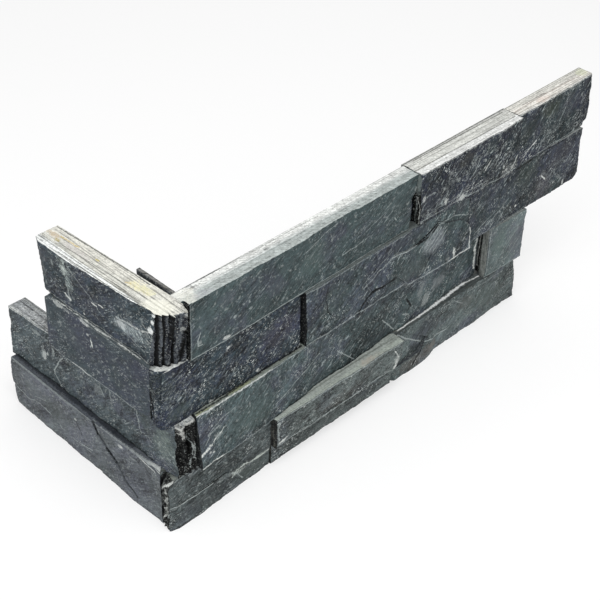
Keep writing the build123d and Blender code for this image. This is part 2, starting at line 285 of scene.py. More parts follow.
# Split face of slate: green-grey and violet-grey in patches, mottled, with grain on the lean,
# pale flecks and dust, dark pits, and pale lines where a layer ended
split_slate, given, result = effect(
    "Split slate",
    {"Place": "vector", "Seed": "float", "Green": "color", "Violet": "color",
     "Violet share": "float", "Lean": "float", "Contrast": "float", "Flecks": "float",
     "Hairs": "float", "Pits": "float", "Edges": "float"},
    {"Color": "color", "Roughness": "float", "Height": "float"})
tree = split_slate
shift = add(tree, "CombineXYZ", given["Seed"], sums(tree, "MULTIPLY", given["Seed"], 3.7),
            sums(tree, "MULTIPLY", given["Seed"], 1.9))
here = vectors(tree, "ADD", given["Place"], scaled(tree, shift, 31, 31, 31))
turned = add(tree, "VectorRotate", here, None, None, given["Lean"], rotation_type="Y_AXIS")
drawn = scaled(tree, turned, 0.28, 1.0, 1.0)
patches = clouds(tree, here, 26, 3.0, 0.6)
part = sums(tree, "ADD", patches, sums(tree, "SUBTRACT", given["Violet share"], 0.5))
base = mix(tree, fade(tree, part, 0.38, 0.62), given["Green"], given["Violet"])
mottle = clouds(tree, here, 5.0, 6.0, 0.7)
grain = clouds(tree, drawn, 1.6, 4.0, 0.7)
broad = clouds(tree, drawn, 16, 3.0, 0.6)
speck = clouds(tree, here, 0.9, 3.0, 0.75)
fine = sums(tree, "ADD", sums(tree, "MULTIPLY", mottle, 1.6), sums(tree, "MULTIPLY", grain, 2.8))
wide = sums(tree, "ADD", sums(tree, "MULTIPLY", broad, 2.4), sums(tree, "MULTIPLY", speck, 2.4))
uneven = sums(tree, "SUBTRACT", sums(tree, "ADD", fine, wide), 4.6)
uneven = sums(tree, "MULTIPLY", uneven, given["Contrast"])
light = sums(tree, "MAXIMUM", sums(tree, "ADD", uneven, 0.83), 0.2)
bluer = add(tree, "CombineXYZ", sums(tree, "MULTIPLY", light, 0.97), light,
            sums(tree, "MULTIPLY", light, 1.04))
base = mix(tree, 1.0, base, bluer, "MULTIPLY")
spots = scaled(tree, vectors(tree, "ADD", turned, (71, 3, 19)), 0.5, 1.0, 1.0)
spots = clouds(tree, spots, 0.75, 3.0, 0.7)
where = fade(tree, clouds(tree, vectors(tree, "ADD", here, (5, 90, 41)), 12, 4.0, 0.65), 0.48, 0.64)
flecks = sums(tree, "MULTIPLY", fade(tree, spots, 0.58, 0.63), sums(tree, "ADD", where, 0.08))
flecks = sums(tree, "MULTIPLY", flecks, sums(tree, "MULTIPLY", given["Flecks"], 1.4))
flecks = sums(tree, "MINIMUM", flecks, 1.0)
base = mix(tree, flecks, base, tone(216, 222, 219))
hairs = clouds(tree, scaled(tree, turned, 0.16, 1.0, 1.0), 1.1, 2.0, 0.6)
where = fade(tree, clouds(tree, vectors(tree, "ADD", here, (33, 9, 88)), 15, 3.0, 0.6), 0.42, 0.6)
hairs = sums(tree, "MULTIPLY", fade(tree, hairs, 0.61, 0.68), sums(tree, "ADD", where, 0.1))
base = mix(tree, sums(tree, "MULTIPLY", hairs, given["Hairs"]), base, tone(152, 162, 163))
pits = clouds(tree, vectors(tree, "ADD", here, (13, 37, 7)), 1.7, 3.0, 0.6)
pits = sums(tree, "MULTIPLY", fade(tree, pits, 0.57, 0.67), given["Pits"])
base = mix(tree, pits, base, tone(30, 33, 36))
layer = tree.nodes.new("ShaderNodeAttribute")
layer.attribute_name = "layer_edge"
broken = fade(tree, clouds(tree, here, 3, 4.0, 0.7), 0.48, 0.6)
edges = sums(tree, "MULTIPLY", sums(tree, "MULTIPLY", layer.outputs["Fac"], broken), given["Edges"])
base = mix(tree, edges, base, tone(160, 167, 165))
tree.links.new(base, result["Color"])
tree.links.new(fade(tree, mottle, 0.3, 0.7, 0.5, 0.74), result["Roughness"])
relief = sums(tree, "ADD", sums(tree, "MULTIPLY", mottle, 0.6), sums(tree, "MULTIPLY", grain, 0.45))
relief = sums(tree, "ADD", relief, sums(tree, "MULTIPLY", speck, 0.12))
tree.links.new(sums(tree, "SUBTRACT", relief, sums(tree, "MULTIPLY", pits, 0.3)), result["Height"])

# Sawn bed: pale, in three bands from the face to the wall, with dark hair lines along the
# layers, the slanting marks of the saw, and dark specks
sawn_bed, given, result = effect(
    "Sawn bed",
    {"Place": "vector", "Seed": "float", "Front": "color", "Middle": "color", "Back": "color",
     "Front line": "float", "Back line": "float", "Lines": "float", "Saw": "float",
     "Specks": "float", "Dirt": "float"},
    {"Color": "color", "Roughness": "float", "Height": "float"})
tree = sawn_bed
shift = add(tree, "CombineXYZ", given["Seed"], given["Seed"], given["Seed"])
here = vectors(tree, "ADD", given["Place"], scaled(tree, shift, 0, 0, 57))
wander = sums(tree, "MULTIPLY", sums(tree, "SUBTRACT", clouds(tree, here, 22, 4.0, 0.6), 0.5), 2.4)
deep = sums(tree, "ADD", add(tree, "SeparateXYZ", given["Place"]).node.outputs[1], wander)
first = fade(tree, sums(tree, "SUBTRACT", deep, given["Front line"]), -0.3, 0.3)
second = fade(tree, sums(tree, "SUBTRACT", deep, given["Back line"]), -0.3, 0.3)
base = mix(tree, second, mix(tree, first, given["Front"], given["Middle"]), given["Back"])
lines = clouds(tree, scaled(tree, here, 0.022, 1.0, 1.0), 0.9, 3.0, 0.7)
shade = fade(tree, lines, 0.38, 0.5)
shade = sums(tree, "MULTIPLY", sums(tree, "SUBTRACT", 1.0, shade), given["Lines"])
shade = sums(tree, "SUBTRACT", 1.0, shade)
slant = add(tree, "VectorRotate", here, None, None, math.radians(38), rotation_type="Z_AXIS")
strokes = clouds(tree, scaled(tree, slant, 0.12, 1.0, 1.0), 0.8, 3.0, 0.7)
strokes = sums(tree, "MULTIPLY", sums(tree, "SUBTRACT", strokes, 0.5), given["Saw"])
dust = fade(tree, clouds(tree, here, 1.6, 6.0, 0.75), 0.32, 0.66, 0.66, 1.1)
shade = sums(tree, "MULTIPLY", sums(tree, "ADD", shade, strokes), dust)
shade = sums(tree, "MAXIMUM", shade, 0.1)
base = mix(tree, 1.0, base, add(tree, "CombineXYZ", shade, shade, shade), "MULTIPLY")
dirt = fade(tree, clouds(tree, here, 5.5, 5.0, 0.65), 0.54, 0.68)
dirt = sums(tree, "MULTIPLY", dirt, given["Dirt"])
base = mix(tree, dirt, base, tone(116, 112, 98))
dots = clouds(tree, vectors(tree, "ADD", here, (9, 31, 2)), 1.1, 2.0, 0.6)
dots = sums(tree, "MULTIPLY", fade(tree, dots, 0.6, 0.7), given["Specks"])
base = mix(tree, dots, base, tone(70, 72, 70))
tree.links.new(base, result["Color"])
tree.links.new(fade(tree, lines, 0.3, 0.7, 0.72, 0.88), result["Roughness"])
relief = sums(tree, "ADD", sums(tree, "MULTIPLY", lines, 0.6), sums(tree, "MULTIPLY", dust, 0.4))
tree.links.new(relief, result["Height"])

# Broken end or flake edge: the layers show as near-black and grey bands with white specks
broken_slate, given, result = effect(
    "Broken slate",
    {"Place": "vector", "Seed": "float", "Dark": "color", "Pale": "color", "Band": "float",
     "Pale share": "float", "Flecks": "float"},
    {"Color": "color", "Roughness": "float", "Height": "float"})
tree = broken_slate
shift = add(tree, "CombineXYZ", given["Seed"], given["Seed"], given["Seed"])
here = vectors(tree, "ADD", given["Place"], scaled(tree, shift, 17, 17, 17))
sheets = add(tree, "TexNoise", scaled(tree, here, 0.1, 1.0, 0.1), None, given["Band"], 5.0, 0.75)
crumbs = clouds(tree, here, 2.0, 6.0, 0.75)
part = sums(tree, "ADD", sums(tree, "MULTIPLY", sheets, 0.5), sums(tree, "MULTIPLY", crumbs, 0.5))
part = sums(tree, "ADD", part, sums(tree, "SUBTRACT", given["Pale share"], 0.5))
base = mix(tree, fade(tree, part, 0.44, 0.57), given["Dark"], given["Pale"])
spots = clouds(tree, vectors(tree, "ADD", here, (3, 51, 23)), 1.0, 4.0, 0.75)
flecks = sums(tree, "MULTIPLY", fade(tree, spots, 0.56, 0.66), given["Flecks"])
base = mix(tree, flecks, base, tone(176, 180, 174))
# painted shade: the broken end turns near black where the carving sank it deepest, standing in for the
# shade in its hollows
sunk = tree.nodes.new("ShaderNodeAttribute")
sunk.attribute_name = "hollow"
base = mix(tree, fade(tree, sunk.outputs["Fac"], 0.42, 0.75, 0.0, 0.92), base, tone(7, 8, 9))
tree.links.new(base, result["Color"])
tree.links.new(fade(tree, crumbs, 0.3, 0.7, 0.6, 0.85), result["Roughness"])
tree.links.new(sums(tree, "ADD", sheets, sums(tree, "MULTIPLY", crumbs, 0.8)), result["Height"])

# Scratch, crack, worn arris or painted shadow or highlight line between two points, drawn on the plane
# given as 1 and 0
scratch_or_light_and_shade, given, result = effect(
    "Scratch or light and shade",
    {"Color": "color", "Place": "vector", "Plane": "vector", "From": "vector", "To": "vector",
     "Width": "float", "Wander": "float", "Gaps": "float", "Mark": "color", "Strength": "float"},
    {"Color": "color"})
tree = scratch_or_light_and_shade
here = vectors(tree, "MULTIPLY", given["Place"], given["Plane"])
sway = add(tree, "TexNoise", here, None, 0.22, 3.0, 0.6).node.outputs["Color"]
sway = vectors(tree, "SUBTRACT", sway, (0.5, 0.5, 0.5))
sway = vectors(tree, "SCALE", sway, None, None)
tree.links.new(sums(tree, "MULTIPLY", given["Wander"], 2.0), sway.node.inputs["Scale"])
point = vectors(tree, "MULTIPLY", vectors(tree, "ADD", here, sway), given["Plane"])
run = vectors(tree, "SUBTRACT", given["To"], given["From"])
reach = vectors(tree, "SUBTRACT", point, given["From"])
share = sums(tree, "DIVIDE", vectors(tree, "DOT_PRODUCT", reach, run),
             vectors(tree, "DOT_PRODUCT", run, run))
share = sums(tree, "MINIMUM", sums(tree, "MAXIMUM", share, 0.0), 1.0)
foot = vectors(tree, "SCALE", run)
tree.links.new(share, foot.node.inputs["Scale"])
off = vectors(tree, "LENGTH", vectors(tree, "SUBTRACT", reach, foot))
thick = sums(tree, "MULTIPLY", sums(tree, "SUBTRACT", clouds(tree, here, 1.3, 3.0, 0.7), 0.5), 3.0)
ratio = sums(tree, "ADD", sums(tree, "DIVIDE", off, given["Width"]), thick)
line = fade(tree, ratio, 0.4, 1.1, 1.0, 0.0)
gaps = fade(tree, clouds(tree, vectors(tree, "ADD", here, (7, 7, 7)), 2.4, 4.0, 0.75), 0.44, 0.56)
gaps = sums(tree, "MULTIPLY", given["Gaps"], sums(tree, "SUBTRACT", 1.0, gaps))
gaps = sums(tree, "SUBTRACT", 1.0, gaps)
amount = sums(tree, "MULTIPLY", sums(tree, "MULTIPLY", line, gaps), given["Strength"])
tree.links.new(mix(tree, amount, given["Color"], given["Mark"]), result["Color"])

# Bruise, stain, chipped patch or patch of painted shade or light with a ragged outline, broken up into
# slanting strokes
bruise, given, result = effect(
    "Bruise",
    {"Color": "color", "Place": "vector", "Plane": "vector", "Centre": "vector", "Size": "vector",
     "Ragged": "float", "Broken": "float", "Mark": "color", "Strength": "float"},
    {"Color": "color"})
tree = bruise
here = vectors(tree, "MULTIPLY", given["Place"], given["Plane"])
reach = vectors(tree, "DIVIDE", vectors(tree, "SUBTRACT", here, given["Centre"]), given["Size"])
off = vectors(tree, "LENGTH", reach)
ragged = sums(tree, "SUBTRACT", clouds(tree, here, 1.1, 4.0, 0.75), 0.5)
wide = sums(tree, "SUBTRACT", clouds(tree, here, 7, 3.0, 0.6), 0.5)
ragged = sums(tree, "MULTIPLY", sums(tree, "ADD", ragged, wide), given["Ragged"])
amount = fade(tree, sums(tree, "ADD", off, ragged), 0.55, 1.1, 1.0, 0.0)
slant = add(tree, "VectorRotate", here, None, None, math.radians(40), rotation_type="Y_AXIS")
strokes = clouds(tree, scaled(tree, slant, 0.3, 1.0, 1.0), 1.0, 4.0, 0.75)
strokes = sums(tree, "SUBTRACT", strokes, sums(tree, "MULTIPLY", given["Broken"], 0.09))
strokes = fade(tree, strokes, 0.45, 0.51, 1.0, 0.0)
amount = sums(tree, "MULTIPLY", amount, given["Strength"])
amount = sums(tree, "MULTIPLY", amount,
              sums(tree, "SUBTRACT", 1.0, sums(tree, "MULTIPLY", strokes, given["Broken"])))
tree.links.new(mix(tree, amount, given["Color"], given["Mark"]), result["Color"])

PALE, WHITE, BLACK = tone(160, 168, 167), tone(214, 218, 214), tone(16, 18, 20)
FACE, BED, END = (1, 0, 1), (1, 1, 0), (0, 1, 1)


def on_plane(plane, pair, between):
    """A pair of measures as a vector on the split face, the bed or the end."""
    pair = list(pair)
    return tuple(pair.pop(0) if used else between for used in plane)


def draw(tree, group, color, place, **values):
    """Places one mark over a colour and gives back the new colour."""
    drawn = tree.nodes.new("ShaderNodeGroup")
    drawn.node_tree = group
    tree.links.new(color, drawn.inputs["Color"])
    tree.links.new(place, drawn.inputs["Place"])
    for label, value in values.items():
        drawn.inputs[label].default_value = value
    return drawn.outputs["Color"]


def finish(name, group, leg, bump, marks=(), plane=FACE, **values):
    """A slate material: one of the shared effects with this piece's values, then its marks."""
    material = bpy.data.materials.new(name)
    material.use_nodes = True
    tree = material.node_tree
    shader = tree.nodes["Principled BSDF"]
    place = tree.nodes.new("ShaderNodeGroup")
    place.node_tree = leg_place
    place = place.outputs["Long" if leg is LONG else "Short"]
    stone = tree.nodes.new("ShaderNodeGroup")
    stone.node_tree = group
    tree.links.new(place, stone.inputs["Place"])
    for label, value in values.items():
        stone.inputs[label.replace("_", " ").capitalize()].default_value = value
    color = stone.outputs["Color"]
    for kind, shape, size, mark, strength, *more in marks:
        on = END if kind.startswith("end ") else plane
        if kind.endswith("line"):
            wander, gaps = more or (0.6, 0.5)
            for a, b in zip(shape, shape[1:]):
                color = draw(tree, scratch_or_light_and_shade, color, place, Plane=on, From=on_plane(on, a, 0),
                             To=on_plane(on, b, 0), Width=size, Wander=wander, Gaps=gaps,
                             Mark=mark, Strength=strength)
        else:
            ragged, broken = more if len(more) == 2 else (more[0] if more else 2.0, 0.5)
            color = draw(tree, bruise, color, place, Plane=on, Mark=mark, Strength=strength,
                         Centre=on_plane(on, shape, 0), Size=on_plane(on, size, 1),
                         Ragged=ragged, Broken=broken)
    tree.links.new(color, shader.inputs["Base Color"])
    tree.links.new(stone.outputs["Roughness"], shader.inputs["Roughness"])
    shader.inputs["Specular IOR Level"].default_value = 0.15
    rough = tree.nodes.new("ShaderNodeBump")
    rough.inputs["Strength"].default_value = bump
    rough.inputs["Distance"].default_value = 0.0009
    tree.links.new(stone.outputs["Height"], rough.inputs["Height"])
    tree.links.new(rough.outputs["Normal"], shader.inputs["Normal"])
    return material


def split_face(name, leg, seed, green, violet, share=0.5, lean=35, contrast=1.0, flecks=0.6,
               hairs=0.5, pits=0.5, edges=0.6, marks=(), bump=0.7):
    return finish(name + " split", split_slate, leg, bump, marks, seed=seed, green=green,
                  violet=violet, violet_share=share, lean=math.radians(lean), contrast=contrast,
                  flecks=flecks, hairs=hairs, pits=pits, edges=edges)


def bed_face(name, leg, seed, front, middle, back, front_line=3.0, back_line=8.0, lines=0.35,
             saw=0.5, specks=0.4, dirt=0.25, marks=(), bump=0.35):
    return finish(name + " sawn", sawn_bed, leg, bump, marks, BED, seed=seed, front=front,
                  middle=middle, back=back, front_line=front_line, back_line=back_line,
                  lines=lines, saw=saw, specks=specks, dirt=dirt)


def broken_face(name, leg, seed, dark=tone(30, 33, 36), pale=tone(96, 102, 102), band=0.6,
                share=0.45, flecks=0.5, marks=(), plane=FACE, bump=1.0):
    return finish(name + " broken", broken_slate, leg, bump, marks, plane, seed=seed, dark=dark,
                  pale=pale, band=band, pale_share=share, flecks=flecks)


def wall_face(name, leg, seed):
    """The back, sawn and dusty."""
    return bed_face(name + " wall", leg, seed, tone(140, 144, 142), tone(132, 136, 135),
                    tone(126, 130, 129), lines=0.2, dirt=0.3)


def lay(node, piece, slot, *materials):
    for material in materials:
        piece.data.materials.append(material)
    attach(piece, "root")
    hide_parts(node)


strip = work_slate("long_bottom_left_strip", LONG, 1.3, lean=12, chips=0.12, near=1.6, band=1.8,
                   grooves=[(7.6, 7.6, 1.4, 1.2)], end_reach=1.2)
lay("long_bottom_left_strip", strip, "slate",
    # partly painted light: the strip's own tones, set lighter for the light the paper throws up onto the
    # lower courses
    split_face("L4a", LONG, 1.3, tone(86, 93, 92), tone(85, 89, 95), 0.4, 12, 0.9, 0.6, 0.5, 0.5,
               marks=[
        ("bruise", (61, 7), (13, 6), tone(62, 70, 67), 0.7, 1.6, 0.2),
        ("bruise", (20, 7), (20, 6), tone(68, 73, 74), 0.5),
        ("line", [(1, 17.1), (31, 17.3)], 0.5, PALE, 0.9, 0.3, 0.3),
        ("line", [(45.8, 11), (47.6, 14), (54.6, 15.6), (63.5, 13.3), (74.5, 12.6)], 0.6,
         tone(196, 204, 198), 1.0, 1.2, 0.5),
        ("bruise", (66, 13.4), (9, 1.5), tone(190, 198, 190), 1.0, 2.6, 0.6),
        ("bruise", (50, 13.4), (4.4, 2.6), tone(190, 198, 192), 1.0, 2.8, 0.7),
        ("bruise", (38, 14.6), (8, 1.6), PALE, 0.7, 3.0, 0.9),
        ("line", [(47.6, 14), (50, 10), (53.8, 4.8)], 0.4, PALE, 0.7, 0.8, 0.6),
        ("bruise", (74, 12.8), (1.4, 1.1), WHITE, 0.9, 1.0),
        ("line", [(47.2, 10), (53, 4)], 0.45, BLACK, 0.7, 0.7, 0.5),
        ("line", [(4, 36.6), (76, 36.6)], 0.4, PALE, 0.6, 0.3, 0.8),
        # painted shadow along the foot, where the strip stands on the paper
        ("line", [(0, 0.3), (76, 0.3)], 0.5, BLACK, 0.6, 0.3, 0.5)]),
    bed_face("L4a", LONG, 1.3, tone(120, 126, 122), tone(110, 116, 111), tone(108, 113, 110), marks=[
        # painted shade in the mouth of the groove in the near end
        ("bruise", (3, 7.4), (3.4, 3.8), tone(8, 9, 10), 1.0, 0.8)]),
    broken_face("L4a", LONG, 1.3, tone(14, 16, 18), tone(92, 96, 94), 0.5, 0.46, 0.9, marks=[
        # painted shade in the groove
        ("bruise", (8.4, 34.5), (2.6, 3.6), tone(6, 7, 8), 1.0, 0.8),
        ("line", [(7.2, 29.6), (3.6, 33), (0.6, 36.2)], 0.9, WHITE, 1.0, 1.0, 0.3),
        ("line", [(5.0, 29), (4.4, 18), (5.0, 8)], 0.6, WHITE, 0.9, 2.0, 0.5),
        ("line", [(2.4, 27), (1.6, 10)], 0.5, PALE, 0.9, 2.0, 0.6)], plane=END),
    wall_face("L4a", LONG, 1.3))


# Middle strip of the bottom course, long leg. A thick upper layer was left standing when the
# stone was split, so it juts out as a small shelf over a darker foot.
strip = work_slate("long_bottom_middle_strip", LONG, 2.6, lean=8, rough=1.0, chips=0.15)
lay("long_bottom_middle_strip", strip, "slate",
    # partly painted light: the strip's own tones, set lighter for the light the paper throws up onto the
    # lower courses
    split_face("L4b", LONG, 2.6, tone(94, 101, 98), tone(90, 96, 99), 0.4, 8, 1.1, 0.9, 0.5, 0.7,
               marks=[
        ("bruise", (126, 24), (22, 5), tone(106, 101, 93), 0.2),
        ("bruise", (128, 7), (56, 7.5), tone(78, 84, 84), 0.5),
        ("line", [(76, 17.6), (110, 17.4), (170, 19.4)], 0.45, PALE, 0.8, 0.4, 0.5),
        ("bruise", (81, 19.4), (2.2, 1.2), WHITE, 0.9, 1.4),
        ("line", [(174.6, 33), (178.4, 26), (176, 20)], 0.5, WHITE, 0.9, 1.6, 0.6),
        ("bruise", (177, 24), (2.0, 5.0), WHITE, 0.9, 3.0, 0.8),
        ("bruise", (175.4, 19.6), (2.6, 1.4), WHITE, 0.9, 2.6, 0.6),
        ("line", [(77.6, 18.6), (77.4, 35)], 0.8, PALE, 0.8, 0.9, 0.5),
        ("line", [(78.6, 18.8), (84, 20.4)], 0.8, WHITE, 0.9, 0.8, 0.3),
        ("line", [(76, 36.7), (180, 36.7)], 0.45, PALE, 0.8, 0.3, 0.4),
        # painted shadow along the foot, where the strip stands on the paper
        ("line", [(76, 0.3), (180, 0.3)], 0.5, BLACK, 0.6, 0.3, 0.5)]),
    bed_face("L4b", LONG, 2.6, tone(172, 180, 172), tone(164, 171, 165), tone(128, 134, 130),
             -3.0, 3.0, 0.3, 0.6, 0.4, 0.2, [
                 ("bruise", (152, -4), (10, 3), tone(172, 162, 150), 0.7, 2.0, 0.4),
                 ("line", [(76, 0.4), (150, 0.4), (181, -1)], 0.8, tone(90, 94, 90), 0.6)]),
    broken_face("L4b", LONG, 2.6, tone(32, 34, 34), tone(112, 112, 104), 0.7, 0.44, 0.5),
    wall_face("L4b", LONG, 2.6))


# Right strip of the bottom course, long leg. Its foot leans back and a hollow is broken out of
# its upper left, which leaves a narrow dark ledge under the lower course.
strip = work_slate("long_bottom_right_strip", LONG, 3.9, lean=40, rough=0.7, chips=0.12, far=0.3)
lay("long_bottom_right_strip", strip, "slate",
    # partly painted light: the strip's own tones, set lighter for the light the paper throws up onto the
    # lower courses
    split_face("L4c", LONG, 3.9, tone(89, 98, 96), tone(87, 92, 98), 0.42, 40, 1.0, 0.5, 0.8, 0.6,
               marks=[
        ("bruise", (215, 27), (24, 7), tone(64, 70, 72), 0.5),
        ("bruise", (232, 24), (9, 4), tone(56, 62, 64), 0.6),
        ("bruise", (204, 6), (22, 5.5), tone(108, 98, 92), 0.4),
        ("bruise", (272, 20), (20, 12), tone(92, 102, 99), 0.6),
        ("bruise", (250, 26), (12, 6), tone(96, 94, 90), 0.4),
        ("line", [(183, 37), (194, 27), (208.8, 16.4), (222.7, 13.4), (234, 12.2)], 0.5, PALE, 0.9,
         0.7, 0.1),
        ("bruise", (220, 7), (6, 4), tone(112, 108, 104), 0.7, 2.0, 0.3),
        ("line", [(210.4, 16), (207, 10), (203, 6.8), (200, 4)], 0.9, BLACK, 0.9, 0.5, 0.1),
        ("line", [(224, 28.8), (232, 29)], 0.7, BLACK, 0.9, 0.4, 0.0),
        ("line", [(238, 34), (248, 26)], 0.5, PALE, 0.6, 0.6, 0.4),
        ("line", [(252, 34), (286, 33)], 0.5, PALE, 0.5, 0.8, 0.5),
        # painted shadow along the foot, where the strip stands on the paper
        ("line", [(181, 0.3), (307, 0.3)], 0.5, BLACK, 0.5, 0.3, 0.6)]),
    bed_face("L4c", LONG, 3.9, tone(84, 90, 90), tone(96, 102, 102), tone(128, 132, 130), 3.0, 7.0,
             0.5, 0.5, 0.6, 0.3, [
                 # partly painted light: the pale ragged edge of the ledge, painted near white so that it
                 # stays bright in the shade under the lower course
                 ("line", [(186, 2.4), (205, 2.8)], 0.6, tone(232, 234, 232), 1.0, 0.6, 0.3),
                 ("line", [(205, 2.8), (220, 3.3)], 0.9, tone(238, 240, 238), 1.0, 0.6, 0.1),
                 ("line", [(220, 3.3), (231, 4.0), (243, 5.0), (252, 5.2)], 1.2, tone(246, 248, 247),
                  1.0, 0.9, 0.1),
                 ("line", [(252, 5.4), (265.5, 3.6)], 0.6, tone(232, 234, 232), 1.0, 0.6, 0.3)]),
    broken_face("L4c", LONG, 3.9, tone(62, 66, 70), tone(100, 106, 106)),
    wall_face("L4c", LONG, 3.9))


# Bottom strip of the short leg. Smooth split slate with one long diagonal cleft; it butts
# against the long strip at the corner and ends in a bowed break.
strip = work_slate("short_bottom_strip", SHORT, 5.2, lean=-32, layers=0.7, rough=0.3, chips=0.12,
                   far=0.2)
lay("short_bottom_strip", strip, "slate",
    # partly painted light: the strip's own tones, set lighter for the light the paper throws up onto the
    # lower courses
    split_face("S4", SHORT, 5.2, tone(102, 107, 108), tone(101, 104, 110), 0.5, -32, 0.7, 0.3, 0.5, 0.3,
               0.5, [
        ("bruise", (110, 22), (26, 8), tone(98, 106, 106), 0.4),
        ("bruise", (43.5, 34.2), (2.4, 1.1), WHITE, 0.9, 1.6),
        ("bruise", (33, 32), (3, 1.2), PALE, 0.5),
        ("line", [(27, 36.6), (10, 36.4)], 0.5, WHITE, 0.9, 0.3, 0.2),
        ("line", [(147, 37), (27, 37)], 0.4, PALE, 0.6, 0.3, 0.5),
        ("line", [(30, 33.4), (28, 31.4)], 0.5, BLACK, 0.8, 0.3, 0.2),
        ("line", [(22, 31.6), (17, 31.2)], 0.45, BLACK, 0.8, 0.4, 0.3),
        ("line", [(83, 27), (79, 19)], 0.6, BLACK, 0.8, 0.6, 0.5),
        ("bruise", (83.6, 28.4), (1.2, 0.9), WHITE, 0.9, 1.0),
        ("bruise", (30, 26), (12, 6), tone(104, 110, 114), 0.5),
        ("line", [(146.6, 14.4), (131.5, 12.4), (120, 16.8), (110, 16), (101, 9.4), (70, 12.7)],
         0.35, PALE, 0.9, 0.6, 0.2),
        ("line", [(124, 20), (112, 24)], 0.35, PALE, 0.6, 0.6, 0.3),
        # painted shadow along the foot, where the strip stands on the paper
        ("line", [(12, 0.3), (147, 0.3)], 0.5, BLACK, 0.5, 0.3, 0.5)]),
    bed_face("S4", SHORT, 5.2, tone(94, 99, 106), tone(96, 101, 107), tone(120, 124, 124), dirt=0.1,
             marks=[("line", [(147, 0.5), (60, 0.3)], 0.6, PALE, 0.8, 0.3, 0.3),
                    ("line", [(60, 0.3), (34, 1.2), (20, 2.6), (10, 4.0)], 1.7, tone(166, 172, 172), 0.9,
                     0.4, 0.1),
                    ("bruise", (14, 3.4), (7, 1.6), WHITE, 0.8, 2.0, 0.6),
                    # painted shade at the back of the ledge, against the foot of the strip above
                    ("line", [(147, 4.6), (52, 4.4), (36, 5.2)], 2.0, tone(40, 44, 50), 0.8, 0.6, 0.0)]),
    # painted light: the broken faces get paler tones than their own, for the light they miss facing down
    # and away from the lamp
    broken_face("S4", SHORT, 5.2, tone(96, 101, 106), tone(132, 137, 142), flecks=0.3, marks=[
        # painted shade in the cleft
        ("line", [(70, 37.5), (64.5, 30)], 1.2, BLACK, 0.9, 0.6, 0.4),
        ("line", [(57, 23.8), (48.9, 17.8), (38, 12.6)], 0.7, BLACK, 0.8, 0.6, 0.7)]),
    wall_face("S4", SHORT, 5.2))


